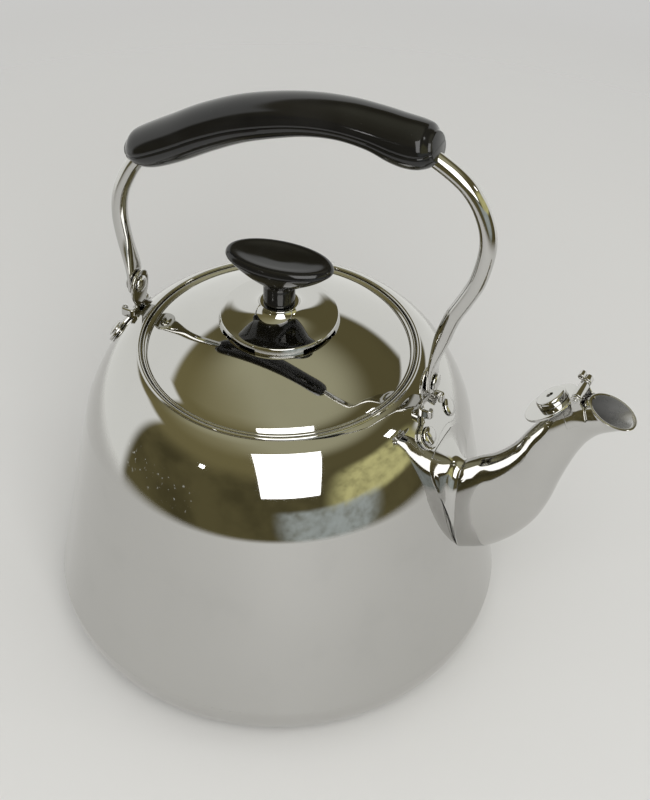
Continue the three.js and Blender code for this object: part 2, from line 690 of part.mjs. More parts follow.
const BAIL_CURVE = new THREE.CatmullRomCurve3(
  BAIL_LINE_SHARES.map(([across, up]) => bailPoint(across, up)), false, "centripetal");

// Rings of the bail tube: round in the middle and pressed flat, thin along X, at both ends.
function tubeRings(inset) {
  const rings = [];
  for (let k = 0; k <= BAIL_STEPS; k += 1) {
    const even = k / BAIL_STEPS;
    const share = even - BAIL_END_CROWDING * Math.sin(2 * Math.PI * even);
    const centre = BAIL_CURVE.getPointAt(share);
    const along = BAIL_CURVE.getTangentAt(share);
    const side = Y_AXIS.clone().cross(along).normalize();
    const above = centre.z - PIVOT_HEIGHT;
    const flat = 1 - THREE.MathUtils.smoothstep(above, TUBE_FLAT_WIDTH / 2, FLAT_END);
    const thick = THREE.MathUtils.lerp(TUBE_DIAMETER, TUBE_FLAT, flat) / 2 - inset;
    const wide = THREE.MathUtils.lerp(TUBE_DIAMETER, TUBE_FLAT_WIDTH, flat) / 2 - inset;
    const ring = [];
    for (let i = 0; i < TUBE_SIDES; i += 1) {
      const angle = (2 * Math.PI * (i + 0.5)) / TUBE_SIDES;
      ring.push(centre.clone()
        .addScaledVector(side, thick * Math.cos(angle))
        .addScaledVector(Y_AXIS, wide * Math.sin(angle)));
    }
    rings.push(ring);
  }
  return rings;
}

function pivotPin(end, radius, from, to) {
  return bar(radius, V3(end * from, 0, PIVOT_HEIGHT), V3(end * to, 0, PIVOT_HEIGHT));
}

// Upper or lower half of the grip as rings: a half oval with a flat side on the parting line.
function gripRings(side) {
  const places = GRIP_SHARES.map(([across, up]) => bailPoint(across, up));
  const line = new THREE.CatmullRomCurve3(places);
  return GRIP_SHARES.map(([, , over, under, width], k) => {
    const along = line.getTangent(k / (places.length - 1));
    const up = along.clone().cross(Y_AXIS).normalize();
    if (up.z < 0) up.negate();
    const height = (side > 0 ? over : under) * GRIP_HALF_WIDTH;
    const base = places[k].clone().addScaledVector(up, side * SEAT_GAP / 2);
    const ring = [];
    const arcSides = RING_SIDES / 2;
    for (let i = 0; i <= arcSides; i += 1) {
      const angle = (Math.PI * i) / arcSides;
      ring.push(base.clone()
        .addScaledVector(Y_AXIS, width * GRIP_HALF_WIDTH * Math.cos(angle))
        .addScaledVector(up, side * (height - SEAT_GAP / 2) * Math.sin(angle)));
    }
    return ring;
  });
}

function makeBail() {
  const pipe = skin([...tubeRings(0), ...tubeRings(TUBE_WALL).reverse()], true);
  const holes = [1, -1].map((end) =>
    pivotPin(end, PIVOT_PIN + SEAT_GAP, BAIL_X - OVERRUN, BAIL_X + OVERRUN));
  add("bail_tube", cut(pipe, ...holes), steel);

  const channel = skin(tubeRings(-SEAT_GAP));
  const screws = GRIP_SCREW_SHARES.map(gripScrewPlace);
  const shafts = screws.map(({ foot, up, top }) =>
    bar(GRIP_SCREW_SHANK + SEAT_GAP, foot.clone().addScaledVector(up, -OVERRUN), top));
  const sinks = screws.map(({ foot, up }) =>
    bar(GRIP_SCREW_HEAD + SEAT_GAP, foot.clone().addScaledVector(up, -GRIP_HALF_WIDTH), foot));
  add("grip_upper", cut(skin(gripRings(1)), channel, ...shafts), bakelite);
  add("grip_lower", cut(skin(gripRings(-1)), channel, ...shafts, ...sinks), bakelite);

  for (const { name, foot, up, top } of screws) {
    const seat = top.distanceTo(foot) + SEAT_GAP;
    const screw = [GRIP_SCREW_HEAD, GRIP_SCREW_SHANK, GRIP_SCREW_SHANK, 2 * SEAT_GAP, seat];
    add(name, turnedAlong(fastener(...screw), top, up.clone().negate()), plainSteel);
  }

  for (const [end, name] of [[1, "pivot_rivet_front"], [-1, "pivot_rivet_rear"]]) {
    const inner = EAR_INNER - SEAT_GAP;
    const outer = BAIL_X + TUBE_FLAT / 2 + SEAT_GAP;
    const profile = fastener(PIVOT_HEAD, PIVOT_DOME, PIVOT_PIN, inner, outer, PIVOT_HEAD);
    add(name, turnedAlong(profile, V3(0, 0, PIVOT_HEIGHT), V3(end, 0, 0)), steel);
  }
}

// Seat, direction and far end of a grip screw. One stands on each side of the tube, head down.
function gripScrewPlace(across, i) {
  const row = GRIP_SHARES.find(([x]) => x === across);
  const k = GRIP_SHARES.indexOf(row);
  const before = bailPoint(GRIP_SHARES[k - 1][0], GRIP_SHARES[k - 1][1]);
  const after = bailPoint(GRIP_SHARES[k + 1][0], GRIP_SHARES[k + 1][1]);
  const up = after.sub(before).cross(Y_AXIS).normalize();
  if (up.z < 0) up.negate();
  const side = i === 0 ? GRIP_SCREW_SIDE : -GRIP_SCREW_SIDE;
  const centre = bailPoint(row[0], row[1]).addScaledVector(Y_AXIS, side);
  const foot = centre.clone().addScaledVector(up, -GRIP_SCREW_DEPTH);
  const top = centre.clone().addScaledVector(up, GRIP_SCREW_DEPTH);
  return { name: i === 0 ? "grip_screw_rear" : "grip_screw_front", foot, up, top };
}

const [MOUTH_BACK, MOUTH_FRONT] = neckEnds(NECK_SHARES[NECK_SHARES.length - 1]);
const MOUTH_TILT = Math.atan2(MOUTH_BACK.z - MOUTH_FRONT.z, MOUTH_FRONT.x - MOUTH_BACK.x);
const HINGE = V3(-HINGE_BEHIND, 0, -HINGE_BELOW).applyAxisAngle(Y_AXIS, MOUTH_TILT).add(MOUTH_BACK);
const NECK_BACK = MOUTH_BACK.clone().sub(neckEnds(NECK_SHARES[NECK_SHARES.length - 2])[0]).normalize();

// Swing of the flap from the mouth to where it rests on the back of the neck, which falls away from
// the line of its last section by FLAP_REST.
const FLAP_SWING = Math.PI + MOUTH_TILT + Math.asin(NECK_BACK.z) + FLAP_REST;
const LID_SEAT = MOUTH_HEIGHT - SEAT_DEPTH + SEAT_GAP;
const DOME_START_RADIUS = LID_RADIUS - LID_RIM_WIDTH;
const DOME_START_HEIGHT = LID_SEAT + LID_RIM_HEIGHT;

// Height of the lid's outer face at a radius: part of a sphere from the rim to the apex.
function domeHeight(radius) {
  const rise = LID_APEX - DOME_START_HEIGHT;
  const sphere = (DOME_START_RADIUS ** 2 + rise ** 2) / (2 * rise);
  return LID_APEX - sphere + Math.sqrt(sphere ** 2 - radius ** 2);
}

function makeLid() {
  const outside = [];
  for (let i = 0; i <= LID_STEPS; i += 1) {
    const radius = (DOME_START_RADIUS * i) / LID_STEPS;
    outside.push(V2(radius, domeHeight(radius)));
  }
  const inside = outside.map((point) => V2(point.x, point.y - WALL));
  const underRim = DOME_START_RADIUS - 2 * WALL;
  const dome = turned([
    ...inside.slice(0, -1),
    V2(underRim, domeHeight(underRim) - WALL),
    V2(underRim + WALL, LID_SEAT),
    V2(LID_RADIUS - WALL / 2, LID_SEAT),
    V2(LID_RADIUS, LID_SEAT + WALL / 2),
    V2(LID_RADIUS, DOME_START_HEIGHT - WALL / 2),
    V2(LID_RADIUS - WALL / 2, DOME_START_HEIGHT),
    ...outside.reverse(),
  ]);
  const holes = [];
  for (let i = 0; i < STEAM_HOLES; i += 1) {
    const angle = (2 * Math.PI * i) / STEAM_HOLES;
    const x = STEAM_HOLE_OFFSET * Math.cos(angle);
    const y = STEAM_HOLE_OFFSET * Math.sin(angle);
    const top = V3(x, y, LID_APEX + OVERRUN);
    holes.push(bar(STEAM_HOLE_RADIUS, V3(x, y, LID_SEAT + OVERRUN), top, TUBE_SIDES));
  }
  const screwHole = bar(SCREW_RADIUS + SCREW_CLEARANCE, V3(0, 0, LID_SEAT), V3(0, 0, LID_APEX + OVERRUN));
  add("lid_dome", cut(dome, screwHole, ...holes), steel);

  const ringOut = MOUTH_RADIUS - 2 * WALL - SEAT_WIDTH - LOCATING_CLEARANCE;
  const ringIn = ringOut - WALL;
  add("lid_locating_ring", turnedRing([
    V2(ringIn, LOCATING_BOTTOM), V2(ringOut, LOCATING_BOTTOM),
    V2(ringOut, domeHeight(ringOut) - WALL - SEAT_GAP), V2(ringIn, domeHeight(ringIn) - WALL - SEAT_GAP),
  ]), plainSteel);
}

function makeKnob() {
  const bandBottom = domeHeight(DISC_RADIUS) + SEAT_GAP;
  const bandTop = bandBottom + DISC_BAND;
  const flare = new THREE.QuadraticBezierCurve(
    V2(DISC_EDGE_RADIUS, bandTop),
    V2(DISC_NECK_RADIUS + DISC_WALL, bandTop + DISC_WALL),
    V2(DISC_NECK_RADIUS, DISC_TOP),
  );
  const outside = [V2(DISC_RADIUS, bandBottom), ...flare.getPoints(DISC_STEPS)];
  const boss = SCREW_RADIUS + SCREW_CLEARANCE;
  const inside = offsetLine(outside, -DISC_WALL);
  inside[0].set(DISC_RADIUS - DISC_WALL, bandBottom);
  inside[inside.length - 1].set(DISC_NECK_RADIUS - DISC_WALL, DISC_TOP - DISC_WALL);
  const disc = turnedRing(
    [...outside, V2(boss, DISC_TOP), V2(boss, DISC_TOP - DISC_WALL), ...inside.reverse()], DISC_SIDES);
  const vents = [];
  for (let i = 0; i < VENTS; i += 1) {
    const slot = new THREE.BoxGeometry(2 * OVERRUN, 2 * VENT_HALF_WIDTH, VENT_HEIGHT + OVERRUN)
      .translate(DISC_RADIUS, 0, bandBottom + (VENT_HEIGHT - OVERRUN) / 2)
      .rotateZ(VENT_TURN + (2 * Math.PI * i) / VENTS);
    vents.push(slot);
  }
  add("knob_base", cut(disc, ...vents), steel);

  const stemBottom = DISC_TOP + SEAT_GAP;
  const levels = KNOB_SHARES.map(([long, wide, up]) => {
    const z = KNOB_BOTTOM + up * (KNOB_TOP - KNOB_BOTTOM);
    return ellipse(KNOB_HALF_LENGTH * long, KNOB_HALF_WIDTH * wide, z);
  });
  const lens = skin(levels);
  const stem = bar(STEM_RADIUS, V3(0, 0, stemBottom), V3(0, 0, DISC_TOP + STEM_LENGTH), RING_SIDES);
  const insertTop = stemBottom + INSERT_LENGTH;
  const socketEnd = V3(0, 0, insertTop + SEAT_GAP);
  const socket = bar(INSERT_RADIUS + SEAT_GAP, V3(0, 0, stemBottom - OVERRUN), socketEnd);
  add("knob", cut(join(lens, stem), socket), bakelite);
  add("knob_insert", turnedRing([
    V2(SCREW_RADIUS + SEAT_GAP, stemBottom), V2(INSERT_RADIUS, stemBottom),
    V2(INSERT_RADIUS, insertTop), V2(SCREW_RADIUS + SEAT_GAP, insertTop),
  ], SMALL_SIDES), brass);

  const washerTop = domeHeight(WASHER_RADIUS) - WALL - SEAT_GAP;
  const washerBottom = washerTop - WASHER_THICKNESS;
  const washerHole = SCREW_RADIUS + SCREW_CLEARANCE;
  add("knob_washer", turnedRing([
    V2(washerHole, washerBottom), V2(WASHER_RADIUS, washerBottom),
    V2(WASHER_RADIUS, washerTop), V2(washerHole, washerTop),
  ], SMALL_SIDES), plainSteel);
  const length = insertTop - washerBottom;
  const profile = fastener(SCREW_HEAD_RADIUS, SCREW_HEAD_HEIGHT, SCREW_RADIUS, SEAT_GAP, length + SEAT_GAP);
  add("knob_screw", turnedAlong(profile, V3(0, 0, insertTop), V3(0, 0, -1)), plainSteel);
}

// Upper and lower end of a section of the neck, in the plane of the spout.
function neckEnds([upX, upZ, lowX, lowZ]) {
  const top = V3(SEAM_X + SEAT_GAP + upX * SPOUT_REACH, 0, SEAM_BOTTOM + upZ * SPOUT_RISE);
  const low = V3(SEAM_X + SEAT_GAP + lowX * SPOUT_REACH, 0, SEAM_BOTTOM + lowZ * SPOUT_RISE);
  return [top, low];
}

// Turns a piece of the flap, made about the hinge with the flap lying level over the mouth, to
// where the open flap rests on the neck.
function opened(geometry) {
  return geometry.rotateY(MOUTH_TILT - FLAP_SWING).translate(HINGE.x, 0, HINGE.z);
}

function makeWhistle() {
  const centre = HINGE_BEHIND + MOUTH_BACK.distanceTo(MOUTH_FRONT) / 2;
  const seat = HINGE_BELOW + SEAT_GAP;
  const top = seat + FLAP_SHEET;
  const pinHole = bar(PIN_RADIUS + SEAT_GAP, V3(0, -PIN_NEAR, 0), V3(0, TAB_START + 2 * TAB_WIDTH, 0));
  const cupX = centre - CUP_OFFSET;
  const flange = bar(FLAP_RADIUS, V3(centre, 0, seat), V3(centre, 0, top), DISC_SIDES);
  const arm = block(V3(-ARM_TAIL, -ARM_HALF_WIDTH, seat), V3(ARM_REACH, ARM_HALF_WIDTH, top));
  const knuckle = bar(KNUCKLE_RADIUS, V3(0, -KNUCKLE_HALF_WIDTH, 0), V3(0, KNUCKLE_HALF_WIDTH, 0));
  const steamHole = bar(WHISTLE_HOLE, V3(cupX, 0, seat - OVERRUN), V3(cupX, 0, top + OVERRUN));
  add("whistle_cover", opened(cut(join(flange, arm, knuckle), pinHole, steamHole)), steel);

  const cupTop = seat - SEAT_GAP;
  const cupEnd = cupTop - CUP_DEPTH;
  const cup = turnedRing([
    V2(WHISTLE_HOLE, cupEnd), V2(CUP_RADIUS - CUP_SHEET, cupEnd), V2(CUP_RADIUS, cupEnd + CUP_SHEET),
    V2(CUP_RADIUS, cupTop), V2(CUP_RADIUS - CUP_SHEET, cupTop),
    V2(CUP_RADIUS - CUP_SHEET, cupEnd + CUP_SHEET), V2(WHISTLE_HOLE, cupEnd + CUP_SHEET),
  ], RING_SIDES).translate(cupX, 0, 0);
  add("whistle_cup", opened(cup), steel);

  const pinEnd = TAB_START + TAB_WIDTH + SEAT_GAP;
  const pin = bar(PIN_RADIUS, V3(HINGE.x, -PIN_NEAR, HINGE.z), V3(HINGE.x, pinEnd, HINGE.z));
  add("whistle_pin", pin, plainSteel);

  const crest = V3(Math.sin(TAB_LEAN), 0, Math.cos(TAB_LEAN)).multiplyScalar(TAB_HEIGHT);
  const across = Y_AXIS.clone().multiplyScalar(TAB_WIDTH);
  const start = V3(0, TAB_START, 0);
  const hub = bar(KNUCKLE_RADIUS, start, start.clone().add(across));
  const roll = bar(TAB_ROLL, start.clone().add(crest), start.clone().add(crest).add(across));
  const leafEnd = V3(TAB_SHEET / 2, TAB_START + TAB_WIDTH, TAB_HEIGHT);
  const leaf = block(V3(-TAB_SHEET / 2, TAB_START, PIN_RADIUS), leafEnd).rotateY(TAB_LEAN);
  const tab = cut(join(leaf, hub, roll), pinHole).translate(HINGE.x, 0, HINGE.z);
  add("whistle_tab", tab, steel);
}

// Strap hugging the top of the neck, with a lug on each side that carries the hinge pin.
function makeSaddle() {
  const around = skin(neckRings(-SEAT_GAP - SADDLE_SHEET));
  const clear = skin(neckRings(-SEAT_GAP));
  const down = Y_AXIS.clone().cross(NECK_BACK);
  const foot = V3(HINGE.x, 0, HINGE.z);
  const span = 2 * CLEVIS_HALF_GAP;
  const region = (front, from, to) => {
    const corners = [[-SADDLE_BACK, 0], [front, 0], [front, SADDLE_DEPTH], [-SADDLE_BACK, SADDLE_DEPTH]];
    const outline = new THREE.Shape(corners.map(([forward, deep]) => {
      const corner = foot.clone().addScaledVector(NECK_BACK, forward).addScaledVector(down, deep);
      return V2(corner.x, corner.z);
    }));
    return sheet(outline, to - from, V3(0, to, 0), X_AXIS, Z_AXIS);
  };
  const sides = [region(SADDLE_FRONT, CLEVIS_HALF_GAP, span), region(SADDLE_FRONT, -span, -CLEVIS_HALF_GAP)];
  const strap = common(around, join(region(-SADDLE_STRAP, -span, span), ...sides));
  const lugs = [-1, 1].map((side) => {
    const outline = new THREE.Shape();
    outline.absarc(HINGE.x, HINGE.z, KNUCKLE_RADIUS, -Math.PI / 4, Math.PI, false);
    const root = foot.clone().addScaledVector(down, SADDLE_DEPTH / 2);
    outline.lineTo(root.x - KNUCKLE_RADIUS, root.z);
    outline.lineTo(root.x + KNUCKLE_RADIUS, root.z);
    const y = side > 0 ? CLEVIS_HALF_GAP + LUG_SHEET : -CLEVIS_HALF_GAP;
    return sheet(outline, LUG_SHEET, V3(0, y, 0), X_AXIS, Z_AXIS);
  });
  const hole = bar(PIN_RADIUS + SEAT_GAP, V3(HINGE.x, -span, HINGE.z), V3(HINGE.x, span, HINGE.z));
  add("whistle_saddle", cut(join(strap, ...lugs), clear, hole), steel);
}

function ellipse(long, wide, z) {
  const ring = [];
  for (let i = 0; i < RING_SIDES; i += 1) {
    const angle = (2 * Math.PI * i) / RING_SIDES;
    ring.push(V3(long * Math.cos(angle), wide * Math.sin(angle), z).applyAxisAngle(Z_AXIS, KNOB_TURN));
  }
  return ring;
}

makeVessel();
makeSpout();
makeEars();
makeBail();
makeLid();
makeKnob();
makeWhistle();
makeSaddle();

export default kettle;
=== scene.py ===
"""Polished steel kettle with a lift-off lid, a folding bail handle and a flap whistle."""

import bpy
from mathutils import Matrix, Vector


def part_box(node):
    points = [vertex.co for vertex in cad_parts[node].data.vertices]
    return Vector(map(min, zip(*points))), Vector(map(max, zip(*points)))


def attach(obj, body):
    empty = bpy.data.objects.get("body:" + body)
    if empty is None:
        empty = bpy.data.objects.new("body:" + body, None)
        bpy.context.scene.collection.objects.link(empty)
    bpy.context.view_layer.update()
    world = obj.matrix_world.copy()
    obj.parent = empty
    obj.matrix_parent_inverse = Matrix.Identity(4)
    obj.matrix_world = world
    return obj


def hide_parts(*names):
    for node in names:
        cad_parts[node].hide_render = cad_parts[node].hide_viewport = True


bl_info = {
    "name": "Polished Steel Kettle",
    "version": (1, 0, 0),
    "blender": (4, 5, 0),
    "location": "3D View > Sidebar > Kettle",
    "description": "Models the kettle piece by piece around its packed frame",
    "category": "Add Mesh",
}

from math import asin, copysign, cos, hypot, pi, radians, sin, sqrt, tan

import bmesh
import bpy
from mathutils import Matrix, Vector

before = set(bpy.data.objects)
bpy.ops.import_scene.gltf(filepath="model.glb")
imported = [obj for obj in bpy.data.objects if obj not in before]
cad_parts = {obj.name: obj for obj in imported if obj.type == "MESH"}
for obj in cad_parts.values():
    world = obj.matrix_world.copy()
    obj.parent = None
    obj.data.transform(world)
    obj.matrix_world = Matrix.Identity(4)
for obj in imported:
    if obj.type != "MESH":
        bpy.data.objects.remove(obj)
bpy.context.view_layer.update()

TURN = 2 * pi

# Gap between pieces that lie on each other, softened edge of a rivet's head, hole in the knuckles
# on the flap's pin, and their radius, in metres.
GAP = 0.0003
SOFT_EDGE = 0.0002
PIN_HOLE = 0.0012
KNUCKLE = 0.0023

# Steps around the vessel and the lid, points around the spout, and the angle in degrees up to
# which faces are shaded as one.
FINE_STEPS = 160
SPOUT_POINTS = 96
SMOOTHING = 32

# Seam of the spout: how far it leans back per height, and how square its outline is, from a
# rectangle at none to an ellipse at one.
SEAM_LEAN = 0.065
SEAM_SQUARENESS = 0.88

# Spout root: half outline where it meets the body, from its lowest point to its highest, as shares
# of its half width and of its height.
ROOT_OUTLINE_SHARES = [
    (0, -0.03), (0.27, 0.0), (0.39, 0.12), (0.43, 0.25), (0.52, 0.4), (0.68, 0.53), (0.86, 0.65),
    (0.98, 0.77), (0.98, 0.87), (0.84, 0.94), (0.58, 0.98), (0.3, 0.995), (0, 1),
]

# Spout neck from the seam to the mouth: upper point x and z, lower point x and z, as shares of the
# spout's reach and rise, and the half width as a share of the seam's.
NECK_SHARES = [
    (-0.0226, 0.4464, 0.0226, 0.0, 1.0),
    (0.071, 0.494, 0.198, 0.06, 1.03),
    (0.158, 0.535, 0.352, 0.159, 1.03),
    (0.232, 0.585, 0.473, 0.279, 1.0),
    (0.299, 0.646, 0.546, 0.399, 0.95),
    (0.355, 0.714, 0.597, 0.528, 0.9),
    (0.412, 0.777, 0.64, 0.622, 0.84),
    (0.479, 0.848, 0.687, 0.708, 0.8),
    (0.566, 0.914, 0.747, 0.785, 0.78),
    (0.647, 0.955, 0.834, 0.85, 0.82),
    (0.713, 0.979, 0.996, 0.914, 0.82),
]

# Rolled lip of the spout's mouth: how far each of its rings stands in from the neck's outside and
# above the neck's end.
MOUTH_LIP = [(-0.0003, -0.0004), (-0.0004, -0.0001), (-0.0001, 0.0001), (0.0004, 0.0001), (0.0007, 0.0)]

# Centre line of the bail from the rear end to the front one, as shares of its half span and rise.
BAIL_SHARES = [
    (-1.0, -0.05), (-1.0, 0.0), (-1.003, 0.06), (-1.022, 0.117), (-1.046, 0.177), (-1.065, 0.238),
    (-1.076, 0.298), (-1.073, 0.359), (-1.053, 0.423), (-1.012, 0.488), (-0.956, 0.556),
    (-0.879, 0.618), (-0.77, 0.673), (-0.616, 0.738), (-0.321, 0.851), (0.0, 0.94),
    (0.321, 0.992), (0.603, 0.998), (0.77, 0.982), (0.938, 0.945), (1.091, 0.891), (1.181, 0.831),
    (1.239, 0.756), (1.262, 0.685), (1.257, 0.609), (1.223, 0.504), (1.162, 0.411), (1.096, 0.321),
    (1.05, 0.226), (1.017, 0.133), (1.0, 0.06), (1.0, 0.0), (1.0, -0.05),
]

# Grip from rear to front: centre as for the bail, then the height over and under the parting line
# and the half width, as shares of the grip's half width.
GRIP_SHARES = [
    (-0.954, 0.62, 0.44, 0.44, 0.52), (-0.898, 0.637, 0.73, 0.67, 0.79),
    (-0.81, 0.666, 0.84, 0.82, 0.93), (-0.642, 0.731, 0.89, 0.86, 1.0),
    (-0.449, 0.81, 0.9, 0.85, 1.02), (-0.231, 0.885, 0.87, 0.8, 1.02),
    (0.0, 0.944, 0.82, 0.75, 1.0), (0.205, 0.982, 0.77, 0.67, 0.98),
    (0.398, 1.001, 0.75, 0.65, 0.97), (0.578, 1.001, 0.78, 0.72, 0.98),
    (0.719, 0.99, 0.87, 0.88, 1.0), (0.815, 0.987, 0.88, 0.88, 0.99),
    (0.885, 0.99, 0.79, 0.74, 0.9), (0.927, 0.996, 0.56, 0.54, 0.62),
]

# Lamps: name, place, width, height and power in watts.
LAMPS = [
    ("window", (0.86, -1.27, 1.29), 1.2, 1.75, 23.0),
    ("front_spot", (-0.6, -1.7, 0.95), 0.1, 0.1, 0.3),
    ("right_spot", (1.6, 0.5, 1.2), 0.2, 0.2, 0.8),
]
LAMPS_AIM = (0, 0, 0.14)

# Camera: place, turns in degrees one after the other, and lens over a film height, in millimetres.
CAMERA_PLACE = (0.3084, -0.5925, 0.7138)
CAMERA_TURNS = [("Z", 25.6), ("X", 48.72), ("Z", 1.45)]
CAMERA_LENS = 83.25
FILM_HEIGHT = 36

# Knob from the top of its stem to its crown: shares of its half length and half width, and of the
# height of its lens.
KNOB_SHARES = [
    (0.3, 0.58, 0.0), (0.42, 0.66, 0.1), (0.62, 0.79, 0.27), (0.82, 0.91, 0.49), (0.95, 0.98, 0.68),
    (1.0, 1.0, 0.79), (0.985, 0.97, 0.91), (0.93, 0.88, 0.99), (0.84, 0.76, 1.0),
    (0.62, 0.55, 0.965), (0.3, 0.27, 0.935), (0.06, 0.055, 0.93),
]


def length(name, description, default):
    """A size in metres that a user may change."""
    return bpy.props.FloatProperty(
        name=name, description=description, default=default, min=0.0, precision=4,
        subtype="DISTANCE", unit="LENGTH",
    )


def angle(name, description, degrees):
    """An angle that a user may change."""
    return bpy.props.FloatProperty(
        name=name, description=description, default=radians(degrees),
        subtype="ANGLE", unit="ROTATION",
    )


def share(name, description, default):
    """A number from none to all that a user may change."""
    return bpy.props.FloatProperty(
        name=name, description=description, default=default, min=0.0, max=1.0, subtype="FACTOR",
    )


def colour(name, description, default):
    """A colour that a user may change."""
    return bpy.props.FloatVectorProperty(
        name=name, description=description, default=default, min=0.0, max=1.0, size=3,
        subtype="COLOR",
    )


class KettleVessel(bpy.types.PropertyGroup):
    """Sizes of the body and its base."""

    radius: length("Body Radius", "Widest radius of the body", 0.110)
    widest: length("Widest Height", "Height of the body's widest line", 0.0256)
    flat: length("Flat Radius", "Radius of the flat that the kettle stands on", 0.0836)
    crease_radius: length("Crease Radius", "Radius where skirt and shoulder meet", 0.0924)
    crease: length("Crease Height", "Height where skirt and shoulder meet", 0.1225)
    mouth_radius: length("Mouth Radius", "Radius of the rolled mouth", 0.0665)
    mouth: length("Mouth Height", "Height of the rolled mouth", 0.1615)
    mouth_slope: angle("Mouth Slope", "Slope of the shoulder at the mouth", 21)
    wall: length("Wall", "Thickness of the sheet", 0.0008)
    seat: length("Seat Height", "Height of the ledge that the lid rests on", 0.1598)
    seat_radius: length("Seat Radius", "Inner radius of the lid's ledge", 0.0595)


class KettleSpout(bpy.types.PropertyGroup):
    """Sizes of the spout."""

    seam: length("Seam Distance", "Distance of the seam from the body's axis", 0.0982)
    seam_half: length("Seam Half Height", "Half the height of the seam", 0.026)
    seam_width: length("Seam Half Width", "Half the width of the seam", 0.0105)
    bottom: length("Seam Bottom", "Height of the seam's lowest point", 0.0765)
    reach: length("Reach", "Distance of the mouth's tip beyond the seam", 0.0747)
    rise: length("Rise", "Height of the mouth above the seam's lowest point", 0.1165)
    root_top: length("Root Top", "Height of the flared root's highest point", 0.140)
    root_width: length("Root Half Width", "Half the width of the flared root", 0.0185)


class KettleHandle(bpy.types.PropertyGroup):
    """Sizes of the ears, the bail and its grip."""

    ear_inner: length("Ear Distance", "Distance of an ear's inner face from the axis", 0.0746)
    ear_sheet: length("Ear Sheet", "Thickness of the ears", 0.0015)
    ear_width: length("Ear Half Width", "Half the width of an ear at the pivot", 0.0072)
    pivot: length("Pivot Height", "Height of the bail's pivots", 0.1705)
    lug_offset: length("Lug Offset", "Distance of a lug from the ear's middle", 0.011)
    lug_radius: length("Lug Radius", "Radius of a lug", 0.0063)
    lug: length("Lug Height", "Height of the lugs", 0.147)
    span: length("Half Span", "Distance of the tube's flat ends from the axis", 0.0779)
    rise: length("Bail Rise", "Height of the bail above its pivots", 0.124)
    tube: length("Tube Diameter", "Diameter of the tube", 0.0076)
    grip_width: length("Grip Half Width", "Half the width of the grip", 0.012)
    rivet_head: length("Rivet Head", "Radius of a rivet's head", 0.0044)
    rivet_rise: length("Rivet Rise", "Height of a rivet's dome", 0.0015)


class KettleLid(bpy.types.PropertyGroup):
    """Sizes of the lid and its knob."""

    radius: length("Lid Radius", "Radius of the lid's rim", 0.064)
    rim: length("Rim Height", "Height of the top of the lid's rim", 0.1619)
    rim_under: length("Rim Underside", "Height of the underside of the lid's rim", 0.1601)
    apex: length("Lid Apex", "Height of the dome's highest point", 0.1805)
    disc: length("Disc Radius", "Radius of the vented disc", 0.0282)
    disc_edge: length("Disc Edge", "Radius of the vented disc's upper edge", 0.0272)
    disc_band: length("Disc Band", "Height of the vented disc's side band", 0.0042)
    disc_neck: length("Disc Neck", "Radius of the vented disc's neck", 0.0091)
    disc_top: length("Disc Top", "Height of the vented disc's top", 0.188)
    stem: length("Stem Radius", "Radius of the knob's stem", 0.0074)
    knob_length: length("Knob Half Length", "Half the length of the knob", 0.0257)
    knob_width: length("Knob Half Width", "Half the width of the knob", 0.013)
    knob_bottom: length("Knob Underside", "Height where the stem meets the knob", 0.199)
    knob_top: length("Knob Top", "Height of the knob's crown", 0.2132)
    knob_turn: angle("Knob Turn", "How far the knob is turned from the spout's line", 7)


class KettleWhistle(bpy.types.PropertyGroup):
    """Sizes of the whistle."""

    hinge_x: length("Hinge Distance", "Distance of the flap's hinge from the axis", 0.14663)
    hinge_z: length("Hinge Height", "Height of the flap's hinge", 0.19165)
    tilt: angle("Mouth Tilt", "Tilt of the spout's mouth", 19.71)
    swing: angle("Flap Swing", "How far the flap is swung open", 237.27)
    flap: length("Flap Radius", "Radius of the flap", 0.0132)
    flap_sheet: length("Flap Sheet", "Thickness of the flap", 0.0009)
    cup: length("Cup Radius", "Radius of the whistle's cup", 0.0072)
    cup_depth: length("Cup Depth", "Depth of the whistle's cup", 0.0034)


class KettleFinish(bpy.types.PropertyGroup):
    """Colours and polish."""

    steel: colour("Steel", "Colour of the polished steel", (0.57, 0.565, 0.55))
    steel_roughness: share("Steel Roughness", "Roughness of the polished steel", 0.045)
    waviness: share("Waviness", "How much the sheet's reflections wave", 0.35)
    plain_steel: colour("Plain Steel", "Colour of the unpolished steel", (0.56, 0.56, 0.555))
    black: colour("Grip and Knob", "Colour of the moulded grip and knob", (0.006, 0.006, 0.0065))
    black_roughness: share("Grip Roughness", "Roughness of the grip and knob", 0.11)
    brass: colour("Brass", "Colour of the insert", (0.66, 0.46, 0.20))


class KettleStage(bpy.types.PropertyGroup):
    """Floor and light."""

    floor: colour("Floor", "Colour of the floor", (0.74, 0.735, 0.72))
    floor_roughness: share("Floor Roughness", "Roughness of the floor", 0.7)
    backdrop: colour("Backdrop", "Colour seen beyond the floor", (0.585, 0.582, 0.57))
    wall: colour("Wall", "Colour of the wall behind, as the steel shows it", (0.95, 0.955, 0.92))
    room: colour("Room", "Colour of the darker room that the steel shows", (0.13, 0.112, 0.05))
    ceiling: colour("Ceiling", "Colour of the ceiling that the lid shows", (0.46, 0.44, 0.29))
    fill: share("Fill Light", "Strength of the light from all around", 0.6)
    floor_radius: length("Floor Radius", "Distance at which the floor begins to fade out", 0.36)
    floor_fade: length("Floor Fade", "Distance at which the floor has faded out", 0.66)


